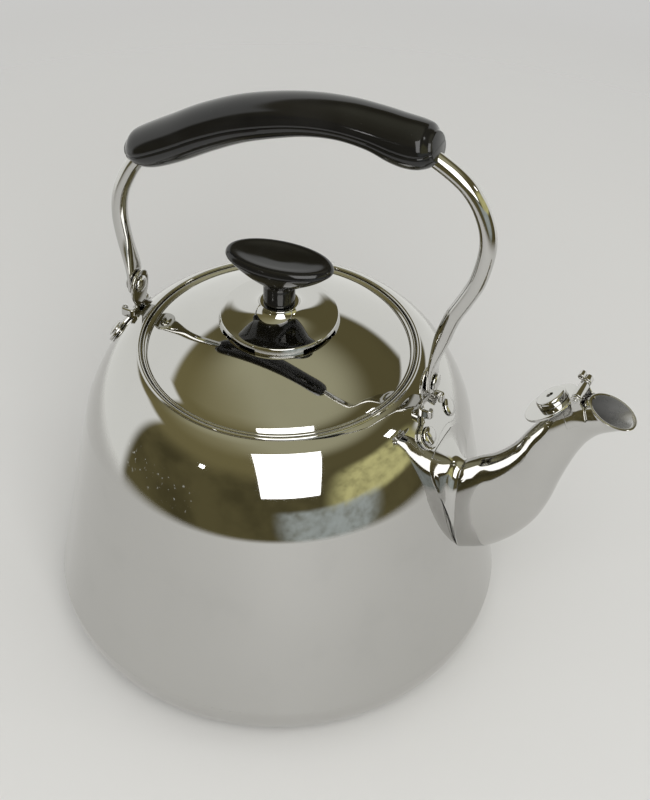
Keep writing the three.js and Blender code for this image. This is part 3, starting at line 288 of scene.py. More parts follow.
def smooth(rows, steps, closed=False):
    """Rows of numbers with a number of steps from each to the next, on a smooth line through them."""
    count = len(rows)
    line = []
    for k in range(count if closed else count - 1):
        picks = [i % count if closed else min(max(i, 0), count - 1) for i in range(k - 1, k + 3)]
        for j in range(steps):
            t = j / steps
            weights = (
                (-t + 2 * t * t - t ** 3) / 2,
                (2 - 5 * t * t + 3 * t ** 3) / 2,
                (t + 4 * t * t - 3 * t ** 3) / 2,
                (t ** 3 - t * t) / 2,
            )
            columns = zip(*[rows[i] for i in picks])
            line.append(tuple(sum(w * value for w, value in zip(weights, column)) for column in columns))
    return line if closed else line + [tuple(rows[-1])]


def curve(a, b, c, t):
    """Value on a curve that leaves a and reaches c, drawn towards b."""
    return a * (1 - t) ** 2 + b * 2 * t * (1 - t) + c * t * t


def arc(x, y, radius, first, step):
    """Eleven points of an arc about (x, y), from its first angle on, in degrees."""
    angles = [radians(first + step * k) for k in range(11)]
    return [(x + radius * cos(a), y + radius * sin(a)) for a in angles]


def rounded(corners, steps=5, closed=True):
    """Line of (x, y) points from corners of (x, y, radius), each turned into an arc."""
    line = []
    for k, (x, y, radius) in enumerate(corners):
        here = Vector((x, y))
        before = Vector(corners[k - 1][:2]) - here
        after = Vector(corners[(k + 1) % len(corners)][:2]) - here
        sharp = radius <= 0 or (not closed and k in (0, len(corners) - 1))
        half = 0 if sharp else before.angle(after) / 2
        if sharp or half > radians(89.5):
            line.append((x, y))
            continue
        reach = min(radius / tan(half), 0.49 * before.length, 0.49 * after.length)
        start = here + before.normalized() * reach
        finish = here + after.normalized() * reach
        for j in range(steps + 1):
            line.append(tuple(curve(start, here, finish, j / steps)))
    return line


def heading(line, k):
    """Direction of a line at one of its points."""
    return (Vector(line[min(k + 1, len(line) - 1)]) - Vector(line[max(k - 1, 0)])).normalized()


def beside(line, distance):
    """Line moved sideways, to the right of its direction of travel when positive."""
    moved = []
    for k, point in enumerate(line):
        along = heading(line, k)
        moved.append((point[0] + along.y * distance, point[1] - along.x * distance))
    return moved


def power(value, exponent):
    """Power of a number that keeps its sign."""
    return copysign(abs(value) ** exponent, value)


def blend(a, b, t):
    """Number between two others."""
    return a + (b - a) * t


def ease(value, low, high):
    """Share from none at the low end to all at the high end, level at both."""
    t = min(max((value - low) / (high - low), 0.0), 1.0)
    return t * t * (3 - 2 * t)


def begin():
    """Leave nothing selected, so that the next primitive stands alone."""
    if bpy.context.object and bpy.context.object.mode != "OBJECT":
        bpy.ops.object.mode_set(mode="OBJECT")
    bpy.ops.object.select_all(action="DESELECT")


def choose(piece):
    """Make one piece the selected and active one."""
    begin()
    piece.select_set(True)
    bpy.context.view_layer.objects.active = piece


def ring_primitive(places):
    """Circle primitive with its corners moved to the given places."""
    begin()
    bpy.ops.mesh.primitive_circle_add(vertices=len(places), radius=1, location=(0, 0, 0))
    piece = bpy.context.object
    for vertex, place in zip(piece.data.vertices, places):
        vertex.co = place
    return piece


def close_up(smoothing=SMOOTHING):
    """Merge what meets, point the faces outwards and shade them, in and out of edit mode."""
    bpy.ops.mesh.select_all(action="SELECT")
    bpy.ops.mesh.remove_doubles(threshold=0.000002)
    bpy.ops.mesh.delete_loose(use_verts=True, use_edges=True, use_faces=False)
    bpy.ops.mesh.select_all(action="SELECT")
    bpy.ops.mesh.normals_make_consistent(inside=False)
    bpy.ops.object.mode_set(mode="OBJECT")
    bpy.ops.object.shade_smooth_by_angle(angle=radians(smoothing))


def turn(outline, steps=128):
    """Body turned about Z from a closed outline of (radius, height) points."""
    piece = ring_primitive([(radius, 0, height) for radius, height in outline])
    bpy.ops.object.mode_set(mode="EDIT")
    bpy.ops.mesh.select_all(action="SELECT")
    bpy.ops.mesh.spin(steps=steps, angle=TURN, center=(0, 0, 0), axis=(0, 0, 1))
    close_up()
    return piece


def loft(rings, pipe=False, smoothing=SMOOTHING):
    """Skin that is extruded from ring to ring, with flat ends, or joined end to start as a pipe."""
    piece = ring_primitive(rings[0])
    bpy.ops.object.mode_set(mode="EDIT")
    bpy.ops.mesh.select_mode(type="EDGE")
    bpy.ops.mesh.select_all(action="SELECT")
    mesh = bmesh.from_edit_mesh(piece.data)
    mesh.verts.ensure_lookup_table()
    last = list(mesh.verts)
    for places in rings[1:]:
        bpy.ops.mesh.extrude_region()
        mesh = bmesh.from_edit_mesh(piece.data)
        fresh = []
        for vertex in last:
            for edge in vertex.link_edges:
                other = edge.other_vert(vertex)
                if other.select:
                    fresh.append(other)
                    break
        for vertex, place in zip(fresh, places):
            vertex.co = place
        last = fresh
    bmesh.update_edit_mesh(piece.data)
    bpy.ops.mesh.select_all(action="DESELECT")
    bpy.ops.mesh.select_non_manifold()
    if pipe:
        bpy.ops.mesh.bridge_edge_loops()
    else:
        bpy.ops.mesh.edge_face_add()
    close_up(smoothing)
    return piece


def margin(x, y, outline):
    """Distance of a point from a closed outline."""
    nearest = 1.0
    for k, (ax, ay) in enumerate(outline):
        bx, by = outline[(k + 1) % len(outline)]
        dx, dy = bx - ax, by - ay
        span = dx * dx + dy * dy
        t = 0.0 if span == 0 else min(max(((x - ax) * dx + (y - ay) * dy) / span, 0.0), 1.0)
        nearest = min(nearest, hypot(x - ax - t * dx, y - ay - t * dy))
    return nearest


def sheet(outline, thickness, bend, spacing=0.001, smoothing=50):
    """Sheet cut from a flat blank with softened edges, then bent: bend(x, y) gives its middle."""
    piece = ring_primitive([(x, y, 0) for x, y in outline])
    soft = 0.3 * thickness
    bpy.ops.object.mode_set(mode="EDIT")
    bpy.ops.mesh.select_all(action="SELECT")
    bpy.ops.mesh.edge_face_add()
    bpy.ops.mesh.inset(thickness=0.35 * soft)
    bpy.ops.mesh.inset(thickness=0.65 * soft)
    for axis in (0, 1):
        values = [point[axis] for point in outline]
        low, high = min(values), max(values)
        cuts = max(int((high - low) / spacing), 2)
        facing = (1, 0, 0) if axis == 0 else (0, 1, 0)
        for k in range(1, cuts):
            level = blend(low, high, k / cuts)
            bpy.ops.mesh.select_all(action="SELECT")
            bpy.ops.mesh.bisect(plane_co=[level * part for part in facing], plane_no=facing)
    bpy.ops.object.mode_set(mode="OBJECT")
    group = piece.vertex_groups.new(name="softened")
    for vertex in piece.data.vertices:
        x, y, _ = vertex.co
        depth = min(margin(x, y, outline) / soft, 1.0)
        weight = blend(0.45, 1.0, sqrt(1 - (1 - depth) ** 2))
        group.add([vertex.index], weight, "REPLACE")
        vertex.co = bend(x, y)
    thicken = piece.modifiers.new("thickness", "SOLIDIFY")
    thicken.thickness = thickness
    thicken.offset = 0
    thicken.vertex_group = group.name
    choose(piece)
    bpy.ops.object.modifier_apply(modifier=thicken.name)
    piece.vertex_groups.clear()
    bpy.ops.object.mode_set(mode="EDIT")
    close_up(smoothing)
    return piece


def drill(radius, depth, place):
    """Cylinder along Z that cuts a hole, turned so that its corners miss the edges it cuts."""
    begin()
    bpy.ops.mesh.primitive_cylinder_add(
        vertices=24, radius=radius, depth=depth, location=place, rotation=(0, 0, 0.1))
    return bpy.context.object


def collar(low, high):
    """Knuckle along Z with softened edges, which turns on the flap's pin."""
    inner, outer = 0.0002, 0.0004
    return turn(rounded([
        (PIN_HOLE, low, inner), (KNUCKLE, low, outer), (KNUCKLE, high, outer), (PIN_HOLE, high, inner)]), 40)


def join(*parts):
    """Make one piece of several."""
    begin()
    for part in parts:
        part.select_set(True)
    bpy.context.view_layer.objects.active = parts[0]
    bpy.ops.object.join()
    return parts[0]


def twin(piece, matrix):
    """Copy of a piece with a mesh of its own, moved by a matrix."""
    copy = piece.copy()
    copy.data = piece.data.copy()
    copy.data.transform(matrix)
    if matrix.determinant() < 0:
        copy.data.flip_normals()
    bpy.context.collection.objects.link(copy)
    return copy


def cut_away(piece, *cutters):
    """Cut holes into a piece and take the cutters away."""
    for cutter in cutters:
        hole = piece.modifiers.new("hole", "BOOLEAN")
        hole.operation = "DIFFERENCE"
        hole.solver = "EXACT"
        hole.object = cutter
        choose(piece)
        bpy.ops.object.modifier_apply(modifier=hole.name)
        bpy.data.objects.remove(cutter, do_unlink=True)
    choose(piece)
    bpy.ops.object.shade_smooth_by_angle(angle=radians(SMOOTHING))


def settle(piece, name, node, body="vessel", look="pressed_steel"):
    """Name a finished piece, give it its finish and let it stand for its frame node."""
    piece.name = name
    piece.data.name = name
    piece.data.materials.clear()
    piece.data.materials.append(finish(look))
    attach(piece, body)
    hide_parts(node)


class Shade:
    """An output of a material's nodes, on which arithmetic adds Math nodes."""

    def __init__(self, recipe, socket):
        self.recipe = recipe
        self.socket = socket

    def maths(self, operation, *values):
        return self.recipe.node("ShaderNodeMath", {"operation": operation}, dict(enumerate(values)))

    def __add__(self, other):
        return self.maths("ADD", self, other)

    def __sub__(self, other):
        return self.maths("SUBTRACT", self, other)

    def __rsub__(self, other):
        return self.maths("SUBTRACT", other, self)

    def __mul__(self, other):
        return self.maths("MULTIPLY", self, other)

    def __truediv__(self, other):
        return self.maths("DIVIDE", self, other)

    def __pow__(self, other):
        return self.maths("POWER", self, other)

    __radd__ = __add__
    __rmul__ = __mul__

    def between(self, low, high):
        """None below the low value, all above the high one, and smooth between them."""
        settings = {"interpolation_type": "SMOOTHSTEP"}
        return self.recipe.node("ShaderNodeMapRange", settings, {0: self, 1: low, 2: high})


class Recipe:
    """The nodes of one material or of the world."""

    def __init__(self, owner):
        owner.use_nodes = True
        self.tree = owner.node_tree
        self.tree.nodes.clear()

    def node(self, kind, settings=None, values=None, output=0):
        """Add a node, set it up, fill its sockets, and give back one of its outputs."""
        made = self.tree.nodes.new(kind)
        for name, value in (settings or {}).items():
            setattr(made, name, value)
        for key, value in (values or {}).items():
            if isinstance(value, Shade):
                self.tree.links.new(value.socket, made.inputs[key])
            else:
                made.inputs[key].default_value = value
        return Shade(self, made.outputs[output]) if made.outputs else None

    def noise(self, place, scale, detail=3.0, roughness=0.5):
        values = {"Vector": place, "Scale": scale, "Detail": detail, "Roughness": roughness}
        return self.node("ShaderNodeTexNoise", None, values)

    def tint(self, factor, a, b):
        """Colour a, or colour b where the factor is one."""
        return self.node("ShaderNodeMix", {"data_type": "RGBA"}, {0: factor, 6: a, 7: b}, 2)

    def axes(self, place):
        """The three numbers of a vector."""
        return [self.node("ShaderNodeSeparateXYZ", None, {0: place}, axis) for axis in range(3)]

    def stretch(self, place, scale):
        """Vector with each of its numbers scaled."""
        return self.node("ShaderNodeVectorMath", {"operation": "MULTIPLY"}, {0: place, 1: scale})

    def bump(self, strength, distance, height, more=None):
        """Normal that follows a height."""
        values = {"Strength": strength, "Distance": distance, "Height": height, **(more or {})}
        return self.node("ShaderNodeBump", None, values)

    def surface(self, values):
        """Principled shader with the given values, as the material's surface."""
        shader = self.node("ShaderNodeBsdfPrincipled", None, values)
        self.node("ShaderNodeOutputMaterial", None, {"Surface": shader})


def rgba(values, gain=1.0):
    """Colour with its opaque fourth value."""
    return (*[gain * value for value in values], 1.0)


def steel(name, tone, roughness, waviness, marks, turned, metallic=1.0):
    """Stainless steel: polishing marks, a slightly wavy sheet, and faint handling smears."""
    material = bpy.data.materials.new(name)
    recipe = Recipe(material)
    place = recipe.node("ShaderNodeTexCoord", output="Object")
    if turned:
        x, y, z = recipe.axes(place)
        radius = (x * x + y * y + 0.00001) ** 0.5
        rings = {0: x / radius * 0.02, 1: y / radius * 0.02, 2: z + radius * 0.8}
        grain_place = recipe.node("ShaderNodeCombineXYZ", None, rings)
    else:
        grain_place = recipe.stretch(place, (1, 3, 1))
    grain = recipe.noise(grain_place, 2600.0, 2.0, 0.6)
    smear = recipe.noise(place, 38.0, 4.0, 0.6).between(0.5, 0.72)
    cloud = recipe.noise(place, 9.0, 2.0).between(0.35, 0.7)
    wave = recipe.noise(place, 21.0, 1.0, 0.3)
    dull = smear * 0.45 + cloud * 0.25 + (grain - 0.5) * marks
    ripple = recipe.bump(waviness, 0.0004, wave)
    recipe.surface({
        "Base Color": recipe.tint(cloud * 0.6 + smear * 0.4, rgba(tone), rgba(tone, 0.94)),
        "Metallic": metallic, "Roughness": roughness * (0.75 + dull),
        "Normal": recipe.bump(0.05 * marks, 0.00002, grain, {"Normal": ripple})})
    return material


def moulded(name, tone, roughness):
    """Glossy black moulded plastic: a soft orange-peel, fine scuffs and a little dust."""
    material = bpy.data.materials.new(name)
    recipe = Recipe(material)
    place = recipe.node("ShaderNodeTexCoord", output="Object")
    scuff = recipe.noise(recipe.stretch(place, (1, 6, 6)), 420.0, 3.0, 0.7).between(0.6, 0.75)
    cloud = recipe.noise(place, 30.0, 3.0).between(0.4, 0.7)
    dust = recipe.noise(place, 1900.0, 1.0).between(0.78, 0.82)
    peel = recipe.noise(place, 160.0, 1.0, 0.3)
    grey_dust = (0.09, 0.088, 0.084)
    recipe.surface({
        "Base Color": recipe.tint(dust * 0.5 + cloud * 0.06, rgba(tone), rgba(grey_dust)),
        "Roughness": roughness * (0.8 + cloud * 0.5 + scuff * 0.5),
        "Normal": recipe.bump(0.12, 0.0001, peel), "Specular IOR Level": 0.45})
    return material


def finish(name):
    """One of the kettle's materials, made the first time it is asked for."""
    known = bpy.data.materials.get(name)
    if known:
        return known
    look = bpy.context.scene.kettle_finish
    rough, wave = look.steel_roughness, look.waviness
    steels = {
        "spun_steel": (look.steel, rough, wave, 0.5, True),
        "pressed_steel": (look.steel, rough * 1.3, wave * 0.6, 0.4, False),
        "raw_steel": (look.plain_steel, 0.36, wave, 0.8, False, 0.75),
        "turned_brass": (look.brass, 0.28, 0.2, 0.8, True),
    }
    if name in steels:
        return steel(name, *steels[name])
    return moulded(name, look.black, look.black_roughness)


def shoulder_line(vessel, steps=48):
    """Outer line of the shoulder from the crease to the mouth."""
    crease = Vector((vessel.crease_radius, vessel.crease))
    mouth = Vector((vessel.mouth_radius, vessel.mouth))
    lead = (crease - Vector((vessel.radius, vessel.widest))).normalized() * 0.003
    leave = Vector((cos(vessel.mouth_slope), -sin(vessel.mouth_slope))) * 0.0178
    line = []
    for k in range(steps + 1):
        t = (k / steps) ** 1.5
        point = (
            crease * (1 - t) ** 3 + (crease + lead) * 3 * t * (1 - t) ** 2
            + (mouth + leave) * 3 * t * t * (1 - t) + mouth * t ** 3
        )
        line.append((point.x, point.y))
    return line


def outer_line(vessel):
    """Outer line of the skirt and shoulder from the widest line to the mouth."""
    foot = (vessel.radius, vessel.widest)
    top = (vessel.crease_radius, vessel.crease)
    skirt = [(blend(foot[0], top[0], k / 24), blend(foot[1], top[1], k / 24)) for k in range(24)]
    return skirt + shoulder_line(vessel)


def radius_at(line, height):
    """Radius of a line at a height."""
    for (r0, z0), (r1, z1) in zip(line, line[1:]):
        if height <= z1:
            return blend(r0, r1, (height - z0) / (z1 - z0))
    return line[-1][0]


def make_vessel(vessel, spout):
    """Body shell with its rolled mouth and lid ledge, and the base pan."""
    wall, bead_radius, ledge_depth = vessel.wall, 0.00105, 0.0028
    line = outer_line(vessel)
    bead = Vector((vessel.mouth_radius - 0.00095, vessel.mouth - 0.0001))
    roll = arc(bead.x, bead.y, bead_radius, -10, 19)
    inner, under, low = vessel.seat_radius, vessel.seat - wall, vessel.seat - ledge_depth
    ledge = rounded([
        (bead.x - bead_radius, vessel.seat, 0.0005), (inner, vessel.seat, 0.0007), (inner, low, 0),
        (inner + wall, low, 0), (inner + wall, under, 0.0003),
        (radius_at(line, vessel.seat) - wall, under, 0)], closed=False)
    outside = [point for point in line if point[1] < vessel.mouth - 0.0002]
    inside = [point for point in beside(line, -wall) if point[1] < under]
    shell = turn(outside + roll + ledge + inside[::-1], FINE_STEPS)
    shell.data.transform(Matrix.Rotation(TURN / (2 * FINE_STEPS), 4, "Z"))
    within_body, beyond_body = 0.072, 0.108
    cut_away(shell, loft([seam_ring(spout, wall, x, 48) for x in (within_body, beyond_body)]))
    settle(shell, "body", "body_shell", look="spun_steel")

    ring_depth, ring_soft = 0.0004, 0.0006
    stamped = [(0, 0, 0)]
    for start in (0.036, 0.062):
        for out, depth in ((0, 0), (0.0012, ring_depth), (0.0028, ring_depth), (0.004, 0)):
            stamped.append((start + out, depth, ring_soft))
    stamped = rounded(stamped + [(0.08, 0, 0)], closed=False)
    corner = [
        (vessel.flat + (vessel.radius - vessel.flat) * sin(a), vessel.widest * (1 - cos(a)))
        for a in [radians(6 * k) for k in range(15)]]
    corner.append((vessel.radius, vessel.widest))
    within = beside(corner, -wall)
    within[0] = (within[0][0], wall)
    within[-1] = (vessel.radius - wall, vessel.widest)
    pan = turn(stamped + corner + within[::-1] + [(0, wall)], FINE_STEPS)
    settle(pan, "base", "base_pan", look="spun_steel")


def seam_ring(spout, inset, x=None, count=SPOUT_POINTS, out=0.0):
    """Ring along the leaning seam of the spout, or its outline upright at another distance."""
    ring = []
    for k in range(count):
        a = TURN * (k / count) - pi / 2
        y = (spout.seam_width - inset) * power(cos(a), SEAM_SQUARENESS)
        z = (spout.seam_half - inset) * power(sin(a), SEAM_SQUARENESS)
        plane = spout.seam - SEAM_LEAN * z if x is None else x
        ring.append((plane + out, y, spout.bottom + spout.seam_half + z))
    return ring


def make_root(spout, vessel):
    """Flared root that leaves the body and ends in the welded seam."""
    line = outer_line(vessel)
    weld, sink = 0.00022, Vector((0.0015, 0, 0))
    half = [(spout.root_width * across, blend(spout.bottom, spout.root_top, up))
            for across, up in ROOT_OUTLINE_SHARES]
    whole = smooth(half + [(-x, z) for x, z in half[-2:0:-1]], 4, closed=True)

    def skin_point(y, z, lift):
        inner = radius_at(line, z)
        seam = spout.seam - SEAM_LEAN * (z - spout.bottom - spout.seam_half)
        return Vector((min(sqrt(max(inner * inner - y * y, 0)) + lift, seam), y, z))

    def rings(inset, lift, steps):
        edge = beside(whole[-1:] + whole + whole[:1], -inset)[1:-1]
        seam = seam_ring(spout, inset)
        made = []
        for k in range(steps + 1):
            ring = []
            for (y, z), end in zip(edge, seam):
                start, bend = skin_point(y, z, lift), skin_point(end[1], end[2], lift)
                ring.append(curve(start, bend, Vector(end), k / steps))
            made.append(ring)
        return [[point - sink for point in made[0]]] + made

    outside = rings(0, 0.00035, 14)
    bead = [seam_ring(spout, inset, out=out)
            for inset, out in ((-weld, 0.00012), (-weld, 0.0003), (0, 0.0004))]
    inside = rings(vessel.wall, -0.0009, 10)
    root = loft(outside + bead + inside[::-1], pipe=True, smoothing=40)
    settle(root, "spout_root_flare", "spout_root")


def neck_point(spout, station, a, inset):
    """Point on the neck at a station of its shares and an angle around it."""
    top_x, top_z, low_x, low_z, width, squareness = station
    origin = Vector((spout.seam + GAP, 0, spout.bottom))
    top = origin + Vector((top_x * spout.reach, 0, top_z * spout.rise))
    low = origin + Vector((low_x * spout.reach, 0, low_z * spout.rise))
    half = (top - low) / 2
    up = half * ((half.length - inset) / half.length) * power(sin(a), squareness)
    across = (width * spout.seam_width - inset) * power(cos(a), squareness)
    return (top + low) / 2 + up + Vector((0, across, 0))


def neck_stations(steps):
    """Shares of the neck's sections with their squareness, smoothed."""
    last = len(NECK_SHARES) - 1
    rows = [(*row, blend(SEAM_SQUARENESS, 1.0, k / last)) for k, row in enumerate(NECK_SHARES)]
    return smooth(rows, steps)


def line_inside(piece, middles):
    """Give the faces that look towards a line of points the unpolished finish of the inside."""
    piece.data.materials.append(finish("raw_steel"))
    for face in piece.data.polygons:
        nearest = min(middles, key=lambda middle: (middle - face.center).length_squared)
        if face.normal.dot(nearest - face.center) > 0:
            face.material_index = 1


def make_neck(spout, vessel, tilt):
    """Swan neck with its slanted mouth."""
    stations = neck_stations(7)
    angles = [TURN * k / SPOUT_POINTS - pi / 2 for k in range(SPOUT_POINTS)]
    normal = Vector((sin(tilt), 0, cos(tilt)))
    outside, inside = [
        [[neck_point(spout, row, a, inset) for a in angles] for row in stations]
        for inset in (0, vessel.wall)]
    lip = [[neck_point(spout, stations[-1], a, inset) + normal * rise for a in angles]
           for inset, rise in MOUTH_LIP]
    neck = loft(outside[:-1] + lip + inside[::-1], pipe=True, smoothing=60)
    settle(neck, "spout_swan_neck", "spout_neck")
    line_inside(neck, [sum(ring, Vector()) / len(ring) for ring in outside])


def dome(radius, rise, base, steps=8, sign=1):
    """Quarter oval from its edge to its crown, as (radius, height) points."""
    return [(radius * cos(a), base + sign * rise * sin(a))
            for a in [pi / 2 * k / steps for k in range(steps + 1)]]


def rivet(head, rise, shank, bottom, top, tail):
    """Rivet along Z with a domed head and a domed tail."""
    edge = top + SOFT_EDGE
    crown = [(head - SOFT_EDGE, top), (head, edge)] + dome(head, rise - SOFT_EDGE, edge)
    under = dome(tail, rise, bottom, sign=-1)[::-1]
    return turn(under + [(shank, bottom), (shank, top)] + crown, 40)


def lug_places(vessel, handle):
    """Where the ear rivets stand: name, point and outward direction."""
    line = outer_line(vessel)
    radius, step = radius_at(line, handle.lug), 0.0008
    slope = radius_at(line, handle.lug + step) - radius_at(line, handle.lug - step)
    tip = Vector((2 * step, 0, -slope)).normalized()
    places = []
    for end, word in ((1, "front"), (-1, "rear")):
        for side, hand in ((-1, "near"), (1, "far")):
            turned = asin(handle.lug_offset / radius) * side + (0 if end > 0 else pi)
            point = Vector((radius * cos(turned), radius * sin(turned), handle.lug))
            normal = Matrix.Rotation(turned, 3, "Z") @ tip
            places.append((f"ear_rivet_{word}_{hand}", point, normal))
    return places


def make_ears(handle, vessel):
    """Two stamped ears with lugs on the shoulder and curled horns beside the neck."""
    above = 0.01
    line = beside(outer_line(vessel), GAP + handle.ear_sheet / 2)
    middle = handle.ear_inner + handle.ear_sheet / 2
    corner = [z for r, z in line if r <= middle][0]
    slope = [(r, z) for r, z in line if handle.lug - 0.012 < z and r > middle + 0.0002][::-1]
    path = rounded(
        [(middle, handle.pivot + above, 0), (middle, corner, 0.0022)] + [(r, z, 0) for r, z in slope],
        closed=False)
    lengths = [0.0]
    for (r0, z0), (r1, z1) in zip(path, path[1:]):
        lengths.append(lengths[-1] + hypot(r1 - r0, z1 - z0))

    def along(t):
        """Radius and height at a distance up (positive) or down the ear from its pivot."""
        want = above - t
        for k in range(1, len(path)):
            if want <= lengths[k] or k == len(path) - 1:
                f = (want - lengths[k - 1]) / (lengths[k] - lengths[k - 1])
                return blend(path[k - 1][0], path[k][0], f), blend(path[k - 1][1], path[k][1], f)

    lug = next(t * -0.0001 for t in range(400) if along(t * -0.0001)[1] <= handle.lug)
    bend_t = corner - handle.pivot

    def lay(s, t):
        """Middle of the ear: flat at the pivot, wrapped around the shoulder at the lugs."""
        r, z = along(t)
        wrap = ease(t, bend_t + 0.001, bend_t - 0.004)
        return (r - wrap * (r - sqrt(max(r * r - s * s, 0))), s, z)

    o, q, w = handle.lug_offset, handle.lug_radius, handle.ear_width
    side = [
        (0, lug - 0.52 * q), (0.42 * o, lug - 0.6 * q), (0.72 * o, lug - 0.86 * q), (o, lug - q),
        (o + 0.62 * q, lug - 0.78 * q), (o + 0.95 * q, lug - 0.28 * q), (o + 0.95 * q, lug + 0.3 * q),
        (o + 0.6 * q, lug + 0.8 * q), (o, lug + 1.08 * q), (0.8 * o, lug + 1.36 * q),
        (0.6 * o, lug + 1.72 * q), (0.45 * o, -0.0142), (0.0044, -0.0125), (0.0047, -0.0102),
        (0.0062, -0.0065), (0.99 * w, -0.0025), (w, 0), (0.87 * w, 0.5 * w), (0.5 * w, 0.87 * w),
        (0, w),
    ]
    outline = smooth(side + [(-x, y) for x, y in side[-2:0:-1]], 5, closed=True)
    plate = sheet(outline, handle.ear_sheet, lay, 0.0011)

    horn_low, horn_high, horn_root = handle.pivot - 0.016, handle.pivot - 0.0115, 0.002
    start, bend, arm, curl = 0.0062, 0.0014, 0.0034, 0.0012

    def horn(s, z):
        """Middle of a horn: across the ear, around a bend, out along an arm and into a curl."""
        if s <= start:
            return (middle, s, z)
        a = (s - start) / bend
        if a <= pi / 2:
            return (middle + bend * (1 - cos(a)), start + bend * sin(a), z)
        out = s - start - bend * pi / 2
        if out <= arm:
            return (middle + bend + out, start + bend, z)
        a = (out - arm) / curl
        return (middle + bend + arm + curl * sin(a), start + bend - curl * (1 - cos(a)), z)

    tip = start + bend * pi / 2 + arm + curl * radians(210)
    blank = rounded([
        (horn_root, horn_low, 0), (tip, horn_low, 0.0016), (tip, horn_high, 0.0016),
        (horn_root, horn_high, 0)])
    far = sheet(blank, 0.92 * handle.ear_sheet, horn, 0.0007)
    near = twin(far, Matrix.Scale(-1, 4, (0, 1, 0)))
    front = join(plate, far, near)
    rear = twin(front, Matrix.Rotation(pi, 4, "Z"))
    settle(front, "ear_by_spout", "ear_front")
    settle(rear, "ear_opposite", "ear_rear")

    first = rivet(handle.rivet_head, handle.rivet_rise, 0.002, -0.0014, 0.0021, 0.0032)
    for name, point, normal in lug_places(vessel, handle):
        turned = normal.to_track_quat("Z", "Y").to_matrix().to_4x4()
        made = twin(first, Matrix.Translation(point) @ turned)
        settle(made, f"{name}_head", name)
    bpy.data.objects.remove(first, do_unlink=True)


def bail_point(handle, across, up):
    """Point in the bail's plane from shares of its half span and rise."""
    return Vector((across * handle.span, 0, handle.pivot + up * handle.rise))


def make_bail(handle):
    """Bail tube, pressed flat at both ends, and its pivot rivets."""
    line = [bail_point(handle, *row) for row in smooth(BAIL_SHARES, 6)]
    pressed, pressed_width, pressed_up_to, round_from = 0.003, 0.011, 0.0055, 0.028
    end, end_radius, end_start, least = 0.0062, 0.0055, 0.0054, 0.0006
    rings = []
    for k, centre in enumerate(line):
        side = Vector((0, 1, 0)).cross(heading(line, k)).normalized()
        flat = 1 - ease(centre.z - handle.pivot, pressed_up_to, round_from)
        thick = blend(handle.tube, pressed, flat) / 2
        wide = blend(handle.tube, pressed_width, flat) / 2
        low = handle.pivot - end - centre.z
        if low > -end_start:
            wide = max(sqrt(max(end_radius ** 2 - (end_start + low) ** 2, 0)), least)
            thick = thick * blend(1, 0.72, ease(low, -0.001, 0))
        square = blend(1.0, 0.62, flat)
        ring = []
        for a in [TURN * i / 40 for i in range(40)]:
            up = side * (thick * power(cos(a), square))
            ring.append(centre + up + Vector((0, wide * power(sin(a), square), 0)))
        rings.append(ring)
    settle(loft(rings, smoothing=50), "bail", "bail_tube", "bail")

    first = rivet(0.0042, 0.0016, 0.002, handle.ear_inner - GAP, handle.span + 0.0018, 0.0042)
    for side, node in ((1, "pivot_rivet_front"), (-1, "pivot_rivet_rear")):
        turned = Matrix.Rotation(pi / 2 * side, 4, "Y")
        made = twin(first, Matrix.Translation((0, 0, handle.pivot)) @ turned)
        settle(made, f"{node}_head", node, "bail")
    bpy.data.objects.remove(first, do_unlink=True)


def make_grip(handle):
    """Two moulded halves of the grip."""
    rows = smooth(GRIP_SHARES, 6)
    line = [bail_point(handle, row[0], row[1]) for row in rows]
    parting, soft, end_radius = 0.00008, 0.0004, 0.001

    def section(k, column, side, push=0.0, shrink=0.0):
        """Half section at one of the rows, pushed along the grip and drawn in."""
        ahead = heading(line, k)
        up = ahead.cross(Vector((0, 1, 0))).normalized()
        up = up * side if up.z > 0 else up * -side
        high, wide = [rows[k][i] * handle.grip_width - shrink for i in (column, 4)]
        start = asin(min(soft / high, 0.9))
        centre = line[k] + ahead * push
        ring = []
        for i in range(29):
            a = blend(start, pi - start, i / 28)
            ring.append(centre + Vector((0, wide * cos(a), 0)) + up * (parting + high * sin(a)))
        for y in (-wide + 0.8 * soft, wide - 0.8 * soft):
            ring.append(centre + Vector((0, y, 0)) + up * parting)
        return ring

    for side, column, name, node in (
            (1, 2, "grip_top", "grip_upper"), (-1, 3, "grip_under", "grip_lower")):
        rings = [section(k, column, side) for k in range(len(rows))]
        for a in [radians(degrees) for degrees in (25, 50, 75)]:
            push, shrink = end_radius * sin(a), end_radius * (1 - cos(a))
            rings.insert(0, section(0, column, side, -push, shrink))
            rings.append(section(len(rows) - 1, column, side, push, shrink))
        settle(loft(rings, smoothing=45), name, node, "bail", "black_moulded")


